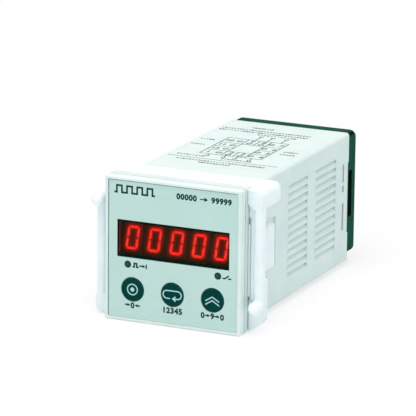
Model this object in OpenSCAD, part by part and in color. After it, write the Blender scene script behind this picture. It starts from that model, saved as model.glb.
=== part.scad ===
// Panel-mounted digital counter timer with a 48 mm square front and a slide-on mounting clamp.
// The origin is the centre of the panel seat, which is the back of the front flange.
// X points right as seen from the front, Y points back through the panel, Z points up.

/* [Front bezel] */
// Width and height of the front bezel and of the case flange
bezel_w = 48; // [43:0.5:52]
// Depth of the bezel moulding in front of the case flange
bezel_d = 3.4; // [2.9:0.05:4.5]
// Depth of the flange moulded on the case
flange_d = 2.5; // [2:0.05:4]
// Step from the flange's side edges in to the case
side_step = 1.97; // [1.7:0.01:2.4]
// Step from the flange's top and bottom edges in to the case
top_step = 1.55; // [1.55:0.05:2]
// Width of the raised rim on the flange's back, which seats on the panel
seat_rim_w = 0.5; // [0.4:0.05:0.55]
// Height of that rim
seat_rim_h = 0.3; // [0.2:0.05:0.6]
// Wall of the bezel behind the fascia film
bezel_wall = 1.6; // [1.2:0.1:2]
// Width of the raised rim around the fascia film
rim_w = 1.1; // [0.8:0.1:1.6]
// Height of that rim above the film
rim_h = 0.3; // [0.1:0.05:0.5]
// Chamfer along the front edges of the bezel
bezel_edge = 0.45; // [0.2:0.05:0.7]
// Radius of the bezel's and the flange's corners
bezel_r = 0.9; // [0.6:0.1:2]
// Width of the shadow groove between the bezel and the case flange
groove_w = 0.5; // [0.15:0.05:0.6]
// Depth of the shadow groove
groove_d = 0.7; // [0.3:0.1:0.8]
// Thickness of the printed fascia film
film_t = 0.4; // [0.2:0.05:0.6]
// Gap around the film and around the window in its seat
film_gap = 0.05; // [0.02:0.01:0.15]
// Width of the two snap tongues behind the bezel
snap_w = 12; // [9:0.5:15]
// Thickness of a snap tongue
snap_t = 1.3; // [1:0.1:1.6]
// Width of the catch on a snap tongue
catch_w = 10; // [7:0.5:13]
// Length of the catch
catch_l = 1.8; // [1.4:0.1:2.6]
// Height of the catch
catch_h = 0.5; // [0.3:0.05:0.7]
// Clearance of the tongue and its catch in the case
snap_gap = 0.12; // [0.08:0.01:0.2]

/* [Display window] */
// Height of the display window
window_h = 12.1; // [10.5:0.1:13]
// Height of the window's centre above the axis
window_z = 3.6; // [3:0.1:6]
// Thickness of the lip that holds the window from behind
window_lip_t = 0.7; // [0.4:0.1:1]
// Width of that lip beyond the window opening
window_lip_w = 0.5; // [0.3:0.05:0.6]
// Gap between the window's lip and the side walls of the bezel
window_side = 0.33; // [0.2:0.01:1.5]

/* [Display digits] */
// Height of a lit digit
digit_h = 8.1; // [7:0.1:9]
// Width of a lit digit, before its slant
digit_w = 4.4; // [4:0.1:5.2]
// Width of one segment of a digit
stroke_w = 0.95; // [0.8:0.05:1.3]
// Gap between two segments that meet at a corner, measured along each
stroke_gap = 0.12; // [0.06:0.01:0.2]
// Half of the gap between the upper and the lower segments
middle_gap = 0.17; // [0.1:0.01:0.25]
// Slant of the digits, in degrees
digit_slant = 8.5; // [0:0.5:14]
// Distance of the digits to the right of the window's middle
digit_right = 0.2; // [0:0.1:0.8]
// Distance of the digits' centre below the window's centre
digit_drop = 0.2; // [-0.5:0.1:0.5]
// Air gap between the window's lip and the digit modules
digit_gap = 0.5; // [0.3:0.1:1]
// Height of a digit module above and below the window opening
module_over = 0.25; // [0.1:0.05:0.4]
// Gap between two digit modules
module_gap = 0.1; // [0.05:0.05:0.3]
// Depth of a digit module
module_d = 5.8; // [5.2:0.1:8]
// Depth of the segments in the module's face
segment_d = 1.2; // [0.6:0.1:2]

/* [Indicator lamps] */
// Diameter of a lamp's lens
lamp_dia = 2.3; // [1.8:0.1:2.8]
// Distance of the lamps' centres in from the ends of the window
lamp_in = 3.7; // [2:0.1:6]
// Distance of the lamps' centres below the window
lamp_drop = 2.45; // [2.4:0.05:3]
// Width of the collar of a lamp's body behind its lens
lamp_collar_w = 0.3; // [0.2:0.05:0.4]
// Distance between a lamp's legs
lamp_leg_pitch = 1.6; // [1.3:0.1:2]
// Width of a leg
lamp_leg_w = 0.5; // [0.3:0.1:0.6]
// Length of the legs
lamp_leg_l = 1.2; // [0.6:0.1:2]

/* [Keys] */
// Diameter of a key
key_dia = 8; // [7:0.1:8.8]
// Distance from a key's collar to the bezel's side wall and to the snap tongue
key_margin = 1.8; // [1.2:0.1:2.6]
// Running clearance around a key
key_gap = 0.1; // [0.05:0.05:0.2]
// Height of a key above the fascia film
key_proud = 0.15; // [0:0.05:0.4]
// Chamfer around a key's front
key_edge = 0.25; // [0.1:0.05:0.5]
// Width of the collar that keeps a key behind the plate
key_collar_w = 0.5; // [0.4:0.1:0.6]
// Thickness of that collar
key_collar_t = 0.8; // [0.5:0.1:1.2]
// Travel of a key
key_travel = 0.4; // [0.2:0.05:0.5]
// Width and height of a key switch's body
switch_w = 6; // [5.6:0.1:6.2]
// Depth of a key switch's body
switch_d = 3.5; // [3:0.1:4.2]
// Diameter of a switch's plunger
plunger_dia = 3.4; // [2.5:0.1:4]
// Depth of the plunger inside the switch at rest
plunger_in = 1; // [0.5:0.1:1.5]

/* [Case] */
// Depth of the case behind the panel seat
case_d = 88.5; // [79:0.1:110]
// Wall of the case
case_wall = 1.6; // [1.3:0.05:1.7]
// Radius of the case's long edges
case_r = 1.1; // [0.4:0.1:1.5]
// Depth of the step cut into the rear edge of the case's sides
rear_step_d = 0.6; // [0.3:0.1:1]
// Height of that step
rear_step_h = 24.6; // [16:0.2:32]
// Width of a guide rib beside an inner board
guide_w = 0.9; // [0.6:0.1:1]
// Height of a guide rib
guide_h = 1.3; // [0.8:0.1:1.8]

/* [Louvres] */
// Number of louvres in a column
louvre_rows = 12; // [4:1:12]
// Distance from louvre to louvre
louvre_pitch = 2.7; // [2.6:0.05:2.8]
// Height of a louvre's sloping blade
louvre_h = 2.2; // [1.8:0.05:2.5]
// Depth to which the blade slopes in
louvre_in = 0.85; // [0.5:0.05:1.1]
// Height of the slot at the blade's inner end
slot_h = 0.5; // [0.3:0.05:0.8]
// Height of the pattern's centre
louvre_z = -0.2; // [-1:0.1:2]
// Length of the front column's louvres
louvre_front_l = 16.5; // [10:0.1:18]
// Width of the plain strip between the columns
louvre_strip = 6.6; // [4:0.1:8]
// Length of the rear column's louvres
louvre_rear_l = 17.7; // [12:0.1:18]
// Distance from the rear column to the case's rear edge
louvre_end = 11.2; // [9:0.1:14]

/* [Latch track] */
// Start of the clamp's ratchet track on each side of the case
track_y = 7; // [5:0.5:9]
// End of the track
track_end = 26.2; // [24:0.1:27]
// Height of the track
track_h = 16.4; // [14:0.2:18]
// Depth of the track
track_d = 0.7; // [0.4:0.05:0.9]
// Height of the toothed strip in the middle of the track
teeth_h = 11; // [8:0.2:12]
// Distance from tooth to tooth
tooth_pitch = 1.6; // [1.2:0.1:2.5]

/* [Terminal block] */
// Depth of the block behind the case
block_d = 6; // [5:0.1:8]
// Step from the case's top down to the block's top
block_top_step = 0.3; // [0.1:0.05:0.6]
// Step from the case's underside up to the block's underside
block_low_step = 2.1; // [1.5:0.05:2.5]
// Radius of the block's corners
block_r = 2.2; // [1.5:0.1:4]
// Length of the block's plug inside the case
plug_l = 8; // [7:0.1:9]
// Wall of that plug
plug_wall = 1.4; // [1:0.1:1.7]
// Gap between the plug and the case
plug_gap = 0.1; // [0.05:0.05:0.2]
// Wall outside the terminals' bays
block_wall = 2.13; // [1.6:0.01:2.6]
// Wall between two bays
bay_wall = 1.8; // [1.2:0.1:2.4]
// Depth of a bay
bay_d = 5; // [4.4:0.1:5.4]
// Thickness of the floor under the bays
bay_floor_t = 2; // [1.9:0.1:3]
// Width of the wire opening in each side of the block
side_open_w = 16.5; // [12:0.5:19]
// Depth of the wire opening
side_open_d = 3.6; // [2.5:0.1:3.9]
// Thickness of a terminal plate
contact_t = 0.8; // [0.6:0.1:1]
// Gap around a terminal plate in its bay
contact_gap = 0.2; // [0.1:0.05:0.4]
// Width of a contact's solder tail
tail_w = 2; // [1.2:0.1:2.5]
// Distance of the tail from the terminal's centre
tail_off = 3; // [2.5:0.1:3.4]
// Length of the tail beyond the rear board
tail_out = 1.2; // [0.5:0.1:2]
// Gap around the square clamping washer in its bay
washer_room = 0.8; // [0.4:0.1:1.2]
// Thickness of the washer
washer_t = 0.8; // [0.6:0.1:1.2]
// Diameter of a terminal screw's thread
screw_dia = 3; // [2.6:0.1:3.5]
// Depth of a terminal screw in the bay's floor
screw_reach = 1.4; // [1:0.1:1.6]
// Diameter of a terminal screw's head
screw_head_dia = 5.8; // [5:0.1:6.4]
// Height of the head
screw_head_h = 2; // [1.4:0.1:2.3]
// Width of the head's cross recess
recess_w = 0.9; // [0.6:0.1:1.2]
// Length of the cross recess
recess_l = 3.6; // [2.8:0.1:4.4]
// Depth of the cross recess
recess_d = 1.1; // [0.7:0.1:1.3]

/* [Mounting clamp] */
// Sliding clearance between the clamp and the case
clamp_gap = 0.1; // [0.08:0.01:0.2]
// Wall of the collar above and below the case
collar_wall = 1.05; // [0.8:0.05:1.2]
// Clearance of the corner skirts beside the flange
skirt_gap = 0.15; // [0.1:0.05:0.4]
// Thickness of the corner skirts
skirt_t = 1.1; // [0.9:0.05:1.2]
// Distance of the corner skirts' inner ends from the middle, up or down
skirt_z = 13.5; // [10:0.1:17]
// Thickness of the lip beside each side of the flange
lip_t = 0.5; // [0.4:0.05:0.6]
// Distance of a lip's ends from the middle
lip_z = 11.9; // [9:0.1:13]
// Distance of a lip's front ahead of the panel seat
lip_front = 0.6; // [0.3:0.1:1]
// Width of the slit between a lip and the web on the arm beside it
lip_slit = 0.35; // [0.2:0.05:0.5]
// Depth of that slit behind the web's front, down to the lip's floor
slit_d = 0.8; // [0.5:0.1:1.2]
// Height of the notch above a lip's end
lip_notch = 2.2; // [1.5:0.1:2.6]
// Distance of the front of the web on an arm's inner side ahead of the panel seat
web_front = 0.2; // [0.1:0.1:0.6]
// Clearance of the web above the corner skirt
web_gap = 0.3; // [0.2:0.1:0.6]
// Start of the collar's side walls behind the panel seat
collar_y = 2.1; // [2.05:0.05:3]
// Start of the collar's top, bottom and corner skirts behind the panel seat
collar_front = 0.2; // [0.1:0.1:1]
// End of the collar
collar_end = 13; // [11.6:0.1:16]
// Radius of the collar's corners
collar_r = 1.3; // [1:0.1:2.2]
// Depth cut off the rear of the side walls, behind the latch tongues' roots
side_cut = 4; // [3:0.1:5]
// Gap between an arm and the side of the flange
arm_gap = 2.2; // [1.9:0.05:3]
// Thickness of an arm, sideways
arm_t = 3.1; // [2.7:0.1:4]
// Depth of an arm
arm_d = 3; // [2.7:0.1:4.5]
// Radius along the arms' front edges
arm_r = 1.1; // [0.6:0.1:1.3]
// Distance of the arms' fronts ahead of the panel seat
arm_front = 1.4; // [0.8:0.1:2]
// Radius of a foot
foot_r = 2.1; // [1.7:0.1:2.4]
// Distance of the feet from the middle, up or down
foot_z = 14.8; // [12:0.1:16]
// Distance of the centre of a foot's round end ahead of the panel seat
foot_front = 3.3; // [2.2:0.1:3.7]
// Height of the root block that carries an arm
root_h = 6.8; // [6:0.1:7.5]
// Radius of the root block's top edge
root_r = 2.4; // [1.5:0.1:3.2]
// Radius of the root block's bottom edge
root_low_r = 1.5; // [0.8:0.1:1.8]
// Rise of the root block's underside from the arm towards the flange
root_slope = 2; // [0:0.1:2.4]
// End of the latch tongue behind the panel seat
tongue_end = 18; // [16:0.1:20]
// Top of the latch tongue on the right side
tongue_top = 8; // [6:0.1:8.1]
// Bottom of the latch tongue on the right side
tongue_bottom = -6; // [-8:0.1:-4]
// Thickness of the latch tongue
tongue_t = 1.6; // [1.2:0.1:2]
// Length of the tongue's root inside the side wall
tongue_hold = 2.9; // [2:0.1:4]
// Distance from the tongue's end to its first tooth
tongue_tip = 0.3; // [0.2:0.1:1]
// Width of the slit beside the tongue
notch_w = 2.8; // [2:0.1:4]

/* [Boards] */
// Thickness of every circuit board
board_t = 1.6; // [1:0.1:2]
// Gap along the edges of the display board and the side boards
board_edge = 0.35; // [0.2:0.05:0.6]
// Gap between the side boards and the case's side walls
side_board_room = 1.93; // [1.2:0.01:3]
// Clearance of a board between its guides
board_gap = 0.15; // [0.1:0.05:0.3]
// Distance from the display board to the side boards
board_lead = 1.5; // [1:0.1:3]
// Diameter of the board screws' threads
board_screw_dia = 1.6; // [1.2:0.1:1.8]
// Depth of a board screw in its post
board_screw_l = 3.8; // [3:0.1:5]
// Diameter of the board screws' heads
board_screw_head = 3; // [2.4:0.1:3]
// Height of the heads
board_screw_h = 1.2; // [0.8:0.1:1.4]
// Diameter of the posts that carry the display board
post_dia = 3; // [2.6:0.1:3.2]

/* [Parts on the boards] */
// Height of a pin header between the display board and a side board
header_h = 20; // [12:1:26]
// Width of a header
header_w = 2.5; // [2:0.1:3.5]
// Length of a header's foot on the side board
header_l = 5; // [3:0.5:7]
// Distance of the transformer behind the side boards' front edge
core_y = 10; // [6:0.5:12]
// Thickness of the transformer's base
base_t = 2; // [1:0.5:4]
// Height of the transformer's core off its base
core_w = 19; // [15:0.5:21]
// Length of the core
core_l = 22; // [18:0.5:24]
// Width of the core
core_h = 24; // [20:0.5:28]
// Width of the core's outer legs
core_leg = 4; // [3:0.5:4.5]
// Length of winding that shows beyond each end of the core
winding_out = 3; // [2:0.5:4]
// Gap between the winding and the core
winding_gap = 0.1; // [0.05:0.05:0.2]
// Length of the relay
relay_l = 20; // [16:0.5:24]
// Height of the relay off its board
relay_w = 12.2; // [10:0.1:13]
// Width of the relay
relay_h = 10.4; // [9:0.1:16]
// Distance from the relay to the rear board
relay_end = 8.4; // [6:0.1:12]
// Diameter of the main capacitor
main_cap_dia = 10; // [8:0.5:12]
// Length of the main capacitor
main_cap_l = 16; // [12:0.5:20]
// Diameter of the small capacitor
small_cap_dia = 6.3; // [5:0.1:8]
// Length of the small capacitor
small_cap_l = 11; // [8:0.5:14]
// Distance of the capacitors and the surge disc above or below the middle
cap_z = 9; // [8:0.5:12]
// Distance from the transformer to the capacitors' centres
cap_y = 12; // [9:0.5:14]
// Diameter of the surge disc
disc_dia = 10; // [7:0.5:12]
// Thickness of the surge disc
disc_t = 4; // [2.5:0.5:5]
// Distance from the capacitors' centres to the surge disc's centre
disc_y = 12; // [9:0.5:14]
// Width and length of the controller chip
chip_w = 14; // [10:0.5:16]
// Thickness of the chip
chip_t = 2; // [1.5:0.1:2.5]
// Distance of the chip behind the side boards' front edge
chip_y = 13; // [9:0.5:18]

/* [Hidden] */
$fn = 48;

// Pieces of one moulding run this far into each other, and cuts this far past a face
eps = 0.01;
past = 1;
// Clearance around a screw or a plunger
hole_gap = 0.05;

// Case, inside and outside
case_w = bezel_w - 2 * side_step;
case_h = bezel_w - 2 * top_step;
case_in_w = case_w - 2 * case_wall;
case_in_h = case_h - 2 * case_wall;
snap_top = case_in_h / 2 - snap_gap;
snap_under = snap_top - snap_t;

// Depths of the front layers, from the front backwards
front_y = -(flange_d + bezel_d);
film_y = front_y + rim_h;
plate_y = film_y + film_t;
plate_back = plate_y + bezel_wall;
lip_back = plate_back + window_lip_t;
digit_y = lip_back + digit_gap;
display_board_y = digit_y + module_d;
display_board_back = display_board_y + board_t;

// Openings in the film and the bezel
film_w = bezel_w - 2 * rim_w;
window_w = case_in_w - 2 * (window_side + window_lip_w);
lamp_x = window_w / 2 - lamp_in;
lamp_z = window_z - window_h / 2 - lamp_drop;
lamp_hole_dia = lamp_dia + 2 * film_gap;
key_hole_dia = key_dia + 2 * key_gap;
key_collar_r = key_dia / 2 + key_collar_w;
key_pitch = case_in_w / 2 - key_collar_r - key_margin;
key_z = -(snap_under - key_collar_r - key_margin);
key_places = [-key_pitch, 0, key_pitch];

// Digits, side by side across the window
digit_count = 5;
digit_pitch = window_w / digit_count;
digit_z = window_z - digit_drop;
lit_strokes = [0:5];
dark_stroke = 6;

// Keys and their switches
key_back = plate_back + key_gap + key_collar_t;
switch_y = display_board_y - switch_d;

// Boards
display_board_w = case_in_w - 2 * board_edge;
display_board_h = 2 * (snap_under - board_edge);
post_x = (display_board_w - post_dia) / 2;
post_z = (display_board_h - post_dia) / 2;
side_board_x = case_in_w / 2 - side_board_room - board_t;
side_board_out = side_board_x + board_t;
side_board_h = case_in_h - 2 * board_edge;
side_board_y = display_board_back + board_lead;
rear_board_y = case_d - plug_l + past;
rear_board_w = case_in_w - 2 * (plug_gap + plug_wall + board_gap);
rear_board_h = case_in_h - 2 * (plug_gap + plug_wall + board_gap);

// Parts on the power board, from the front backwards
core_x0 = -side_board_x + base_t;
core_x1 = core_x0 + core_w;
core_y0 = side_board_y + core_y;
core_y1 = core_y0 + core_l;
cap_place_y = core_y1 + cap_y;
disc_place_y = cap_place_y + disc_y;

// Louvre columns, set out from the case's rear edge
louvre_rear_y = case_d - louvre_end - louvre_rear_l;
louvre_front_y = louvre_rear_y - louvre_strip - louvre_front_l;

// Terminals around the edge of the block: four along the top and bottom, two more on each side
block_w = case_w;
block_h = case_h - block_top_step - block_low_step;
block_z = (block_low_step - block_top_step) / 2;
block_back = case_d + block_d;
bay_floor = block_back - bay_d;
bay_w = (block_w - 2 * block_wall - 3 * bay_wall) / 4;
bay_pitch = bay_w + bay_wall;
bay_places = [for (i = [-1.5:1:1.5], j = [-1.5:1:1.5]) if (abs(i) > 1 || abs(j) > 1)
    [i * bay_pitch, block_z + j * bay_pitch]];
tail_gap = 0.1;

// Windows in the case's sides for the block's snap hooks, as centre and height
hook_windows = [[9.3, 6.2], [3.9, 2.2], [-5.9, 9.4]];
hook_y = case_d - 4.5;
hook_w = 1.3;
hook_gap = 0.15;
hook_sink = 0.4;

// Clamp, around the case and beside the flange
collar_in_w = case_w + 2 * clamp_gap;
collar_in_h = case_h + 2 * clamp_gap;
collar_h = collar_in_h + 2 * collar_wall;
skirt_x = bezel_w / 2 + skirt_gap;
side_x = skirt_x + skirt_t;
top_edge_w = bezel_w - 2 * (seat_rim_w + film_gap);
arm_x = bezel_w / 2 + arm_gap;
arm_out = arm_x + arm_t;
arm_back = arm_d - arm_front;
root_z = collar_h / 2 - root_h;

// Rounded rectangle about the axis
module round_rect(w, h, r) {
    square([w - 2 * r, h], center = true);
    square([w, h - 2 * r], center = true);
    for (x = [-1, 1], z = [-1, 1]) translate([x * (w / 2 - r), z * (h / 2 - r)]) circle(r = r);
}

// Extrudes an outline drawn as X and Z from depth y0 back to depth y1
module along_y(y0, y1) {
    translate([0, y1, 0]) rotate([90, 0, 0]) linear_extrude(y1 - y0) children();
}

// Box between two corners
module span(low, high) {
    translate(low) cube(high - low);
}

// Round bar along Y
module rod(dia, x, z, y0, y1) {
    translate([x, y1, z]) rotate([90, 0, 0]) cylinder(d = dia, h = y1 - y0);
}

module both_sides() {
    children();
    mirror([1, 0, 0]) children();
}

module top_and_bottom() {
    children();
    mirror([0, 0, 1]) children();
}

// Square bars on edge that cut a 45 degree chamfer off the front edges of a square
module front_chamfer(w, y, c) {
    for (a = [0:90:270]) rotate([0, a, 0]) translate([0, y, w / 2]) rotate([45, 0, 0])
        cube([w + 2 * past, c * sqrt(2), c * sqrt(2)], center = true);
}

module case_shell() {
    color([0.80, 0.88, 0.87]) difference() {
        union() {
            difference() {
                union() {
                    along_y(-flange_d, 0) round_rect(bezel_w, bezel_w, bezel_r);
                    along_y(-flange_d, case_d) round_rect(case_w, case_h, case_r);
                }
                seat_recess();
                along_y(-flange_d - past, case_d + past) square([case_in_w, case_in_h], center = true);
                both_sides() {
                    case_louvres();
                    latch_track();
                    hook_holes();
                    rear_step();
                }
            }
            both_sides() {
                track_teeth();
                top_and_bottom() board_guides();
            }
        }
        top_and_bottom() catch_pocket();
    }
}

// Recess in the flange's back between the seat rim and the case
module seat_recess() {
    w = bezel_w - 2 * seat_rim_w;
    difference() {
        along_y(-seat_rim_h, past) round_rect(w, w, bezel_r);
        along_y(-seat_rim_h - past, 2 * past) round_rect(case_w, case_h, case_r);
    }
}

// Two columns of louvres in the right side of the case, each a blade that slopes in to a slot at its top
module case_louvres() {
    for (k = [0:louvre_rows - 1], column = [[louvre_front_y, louvre_front_l], [louvre_rear_y, louvre_rear_l]]) {
        z = louvre_z + (k - (louvre_rows - 1) / 2) * louvre_pitch + louvre_h / 2;
        along_y(column[0], column[0] + column[1]) polygon([
            [case_w / 2 + past, z], [case_in_w / 2 - past, z], [case_in_w / 2 - past, z - slot_h],
            [case_w / 2 - louvre_in, z - slot_h], [case_w / 2, z - louvre_h], [case_w / 2 + past, z - louvre_h]]);
    }
}

// Shallow track in the right side of the case, in which the clamp's latch tongue runs
module latch_track() {
    span([case_w / 2 - track_d, track_y, -track_h / 2], [case_w / 2 + past, track_end, track_h / 2]);
}

// Saw teeth on the floor of the track, up to the face of the case
module track_teeth() {
    tooth_l = tooth_pitch * 0.8;
    teeth = floor((track_end - track_y - tooth_pitch) / tooth_pitch);
    for (k = [0:teeth - 1]) {
        y = track_y + k * tooth_pitch + (tooth_pitch - tooth_l);
        translate([0, 0, -teeth_h / 2]) linear_extrude(teeth_h) polygon([
            [case_w / 2 - track_d - eps, y], [case_w / 2 - track_d - eps, y + tooth_l],
            [case_w / 2, y + tooth_l]]);
    }
}

module hook_holes() {
    for (w = hook_windows) span([case_in_w / 2 - past, hook_y - hook_w / 2, w[0] - w[1] / 2],
        [case_w / 2 + past, hook_y + hook_w / 2, w[0] + w[1] / 2]);
}

module rear_step() {
    span([case_in_w / 2 - past, case_d - rear_step_d, -rear_step_h / 2],
        [case_w / 2 + past, case_d + past, rear_step_h / 2]);
}

// Two ribs under the case's top wall that hold the right side board by its edge
module board_guides() {
    for (x = [side_board_x - board_gap / 2 - guide_w, side_board_out + board_gap / 2])
        span([x, side_board_y + past, case_in_h / 2 - guide_h],
            [x + guide_w, case_d - plug_l - board_t, case_in_h / 2]);
}

// Pocket in the case's top wall for a snap catch of the bezel
module catch_pocket() {
    span([-catch_w / 2 - snap_gap, display_board_back - snap_gap, case_in_h / 2 - past],
        [catch_w / 2 + snap_gap, display_board_back + catch_l + snap_gap, snap_top + catch_h + snap_gap]);
}

module bezel() {
    color([0.84, 0.92, 0.92]) {
        difference() {
            along_y(front_y, -flange_d) round_rect(bezel_w, bezel_w, bezel_r);
            front_chamfer(bezel_w, front_y, bezel_edge);
            along_y(front_y - past, plate_y) round_rect(film_w, film_w, bezel_r / 2);
            along_y(plate_back, 0) square([case_in_w, case_in_h], center = true);
            shadow_groove();
            along_y(plate_y - past, 0) fascia_openings();
        }
        for (x = [-post_x, post_x], z = [-post_z, post_z]) difference() {
            rod(post_dia, x, z, plate_back - eps, display_board_y);
            rod(board_screw_dia + 2 * hole_gap, x, z,
                display_board_y - board_screw_l - hole_gap, display_board_y + past);
        }
        top_and_bottom() snap_tongue();
    }
}

// Openings that the film and the plate behind it share
module fascia_openings() {
    translate([0, window_z]) square([window_w, window_h], center = true);
    for (x = [-lamp_x, lamp_x]) translate([x, lamp_z]) circle(d = lamp_hole_dia);
    for (x = key_places) translate([x, key_z]) circle(d = key_hole_dia);
}

// Groove around the bezel's back edge, which shows as a dark line in front of the flange
module shadow_groove() {
    w = bezel_w - 2 * groove_d;
    difference() {
        along_y(-flange_d - groove_w, past) square(bezel_w + 2 * past, center = true);
        along_y(-flange_d - groove_w - past, 2 * past) round_rect(w, w, bezel_r);
    }
}

// Springy tongue above the display board, with a catch that snaps into the case
module snap_tongue() {
    tip = display_board_back + catch_l;
    span([-snap_w / 2, plate_back - eps, snap_under], [snap_w / 2, tip + board_edge, snap_top]);
    translate([-catch_w / 2, 0, 0]) rotate([90, 0, 90]) linear_extrude(catch_w) polygon([
        [display_board_back, snap_top - eps], [tip, snap_top - eps],
        [display_board_back, snap_top + catch_h]]);
}

module fascia_film() {
    w = film_w - 2 * film_gap;
    color([0.75, 0.87, 0.85]) along_y(film_y, plate_y) difference() {
        round_rect(w, w, bezel_r / 2);
        fascia_openings();
    }
}

module display_window() {
    w = window_w - 2 * film_gap;
    h = window_h - 2 * film_gap;
    color([0.24, 0.11, 0.10]) translate([0, 0, window_z]) {
        along_y(plate_y - film_t / 2, plate_back) square([w, h], center = true);
        along_y(plate_back, lip_back) square([window_w + 2 * window_lip_w, h + 2 * window_lip_w], center = true);
    }
}

// Outlines of a digit's seven segments about its own centre, before the slant
function segment_outlines() =
    let (w = digit_w / 2, h = digit_h / 2, t = stroke_w, g = stroke_gap, m = middle_gap, c = t * 0.6)
    [[[-w + g + c, h], [w - g - c, h], [w - g - c / 2, h - c / 2], [w - t - g, h - t],
        [-w + t + g, h - t], [-w + g + c / 2, h - c / 2]],
     [[w, h - g - c], [w, m], [w - t / 2, m], [w - t, t / 2 + m], [w - t, h - t - g],
        [w - c / 2, h - g - c / 2]],
     [[w, -h + g + c], [w - c / 2, -h + g + c / 2], [w - t, -h + t + g], [w - t, -t / 2 - m],
        [w - t / 2, -m], [w, -m]],
     [[-w + g + c, -h], [-w + g + c / 2, -h + c / 2], [-w + t + g, -h + t], [w - t - g, -h + t],
        [w - g - c / 2, -h + c / 2], [w - g - c, -h]],
     [[-w, -h + g + c], [-w, -m], [-w + t / 2, -m], [-w + t, -t / 2 - m], [-w + t, -h + t + g],
        [-w + c / 2, -h + g + c / 2]],
     [[-w, h - g - c], [-w + c / 2, h - g - c / 2], [-w + t, h - t - g], [-w + t, t / 2 + m],
        [-w + t / 2, m], [-w, m]],
     [[-w + t / 2 + 2 * m, 0], [-w + t + m, t / 2 - m / 2], [w - t - m, t / 2 - m / 2],
        [w - t / 2 - 2 * m, 0], [w - t - m, -t / 2 + m / 2], [-w + t + m, -t / 2 + m / 2]]];

function slanted(points) = [for (p = points) [p[0] + p[1] * tan(digit_slant), p[1]]];

// Where the digit at place k stands, counted from the left
module digit_place(k) {
    translate([digit_right + (k - (digit_count - 1) / 2) * digit_pitch, 0, digit_z]) children();
}

// One segment of a digit, as a bar that reaches back from the module's face
module segment(s) {
    along_y(digit_y, digit_y + segment_d) polygon(slanted(segment_outlines()[s]));
}

module digit_module(k) {
    color([0.06, 0.05, 0.06]) digit_place(k) difference() {
        along_y(digit_y, display_board_y)
            square([digit_pitch - module_gap, window_h + 2 * module_over], center = true);
        for (s = [0:dark_stroke]) segment(s);
    }
}

module lit_segments() {
    color([1, 0.12, 0.12]) for (k = [0:digit_count - 1], s = lit_strokes) digit_place(k) segment(s);
}

module dark_segments() {
    color([0.25, 0.1, 0.1]) for (k = [0:digit_count - 1]) digit_place(k) segment(dark_stroke);
}

// Lamp with its lens in the fascia, a wider body behind the plate and two legs to the board
module lamp(x) {
    body_y = plate_back + hole_gap;
    leg_y = display_board_y - lamp_leg_l;
    color([0.22, 0.36, 0.33]) {
        rod(lamp_dia, x, lamp_z, film_y + hole_gap, body_y + eps);
        rod(lamp_dia + 2 * lamp_collar_w, x, lamp_z, body_y, leg_y);
        for (leg = [-0.5, 0.5]) translate([x + leg * lamp_leg_pitch, 0, lamp_z])
            along_y(leg_y - eps, display_board_y) square(lamp_leg_w, center = true);
    }
}

// Round key with a collar behind the plate and a chamfered front
module key(x) {
    r = key_dia / 2;
    y0 = film_y - key_proud;
    y1 = plate_back + key_gap;
    color([0.02, 0.24, 0.24]) translate([x, 0, key_z]) rotate([-90, 0, 0]) rotate_extrude()
        polygon([[0, y0], [r - key_edge, y0], [r, y0 + key_edge], [r, y1], [key_collar_r, y1],
            [key_collar_r, key_back], [0, key_back]]);
}

module plunger(x) {
    color([0.1, 0.1, 0.1]) rod(plunger_dia, x, key_z, key_back, switch_y + plunger_in);
}

module key_switch(x) {
    color([0.15, 0.15, 0.16]) difference() {
        translate([x, 0, key_z]) along_y(switch_y, display_board_y) square(switch_w, center = true);
        rod(plunger_dia + 2 * hole_gap, x, key_z,
            switch_y - past, switch_y + plunger_in + key_travel + 2 * hole_gap);
    }
}

module display_board() {
    color([0.1, 0.35, 0.2]) difference() {
        along_y(display_board_y, display_board_back)
            square([display_board_w, display_board_h], center = true);
        for (x = [-post_x, post_x], z = [-post_z, post_z])
            rod(board_screw_dia + 4 * hole_gap, x, z, display_board_y - past, display_board_back + past);
    }
}

module board_screws() {
    color([0.7, 0.7, 0.72]) for (x = [-post_x, post_x], z = [-post_z, post_z]) {
        rod(board_screw_dia, x, z, display_board_y - board_screw_l, display_board_back + eps);
        rod(board_screw_head, x, z, display_board_back, display_board_back + board_screw_h);
    }
}

module side_board() {
    color([0.1, 0.35, 0.2]) span([side_board_x, side_board_y, -side_board_h / 2],
        [side_board_out, rear_board_y, side_board_h / 2]);
}

module rear_board() {
    color([0.1, 0.35, 0.2]) difference() {
        along_y(rear_board_y, rear_board_y + board_t) square([rear_board_w, rear_board_h], center = true);
        for (p = bay_places) tail(p, tail_gap);
    }
}

// Angled pin headers that join the display board to the two side boards
module board_headers() {
    color([0.08, 0.08, 0.09]) both_sides()
        span([side_board_x - header_w, display_board_back, -header_h / 2],
            [side_board_x, side_board_y + header_l, header_h / 2]);
}

// Foot of the transformer's bobbin on the power board
module transformer_base() {
    color([0.12, 0.12, 0.13]) span([-side_board_x, core_y0 - base_t / 2, -core_h / 2 + base_t / 2],
        [core_x0, core_y1 + base_t / 2, core_h / 2 - base_t / 2]);
}

// Laminated core with two windows, in which the winding lies
module transformer_core() {
    color([0.35, 0.33, 0.32]) difference() {
        span([core_x0, core_y0, -core_h / 2], [core_x1, core_y1, core_h / 2]);
        top_and_bottom() span([core_x0 + core_leg, core_y0 - past, core_leg],
            [core_x1 - core_leg, core_y1 + past, 2 * core_leg]);
    }
}

module transformer_winding() {
    color([0.75, 0.6, 0.2]) difference() {
        span([core_x0 + core_leg + winding_gap, core_y0 - winding_out, -2 * core_leg + winding_gap],
            [core_x1 - core_leg - winding_gap, core_y1 + winding_out, 2 * core_leg - winding_gap]);
        span([core_x0, core_y0 - winding_gap, -core_leg - winding_gap],
            [core_x1, core_y1 + winding_gap, core_leg + winding_gap]);
    }
}

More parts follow.
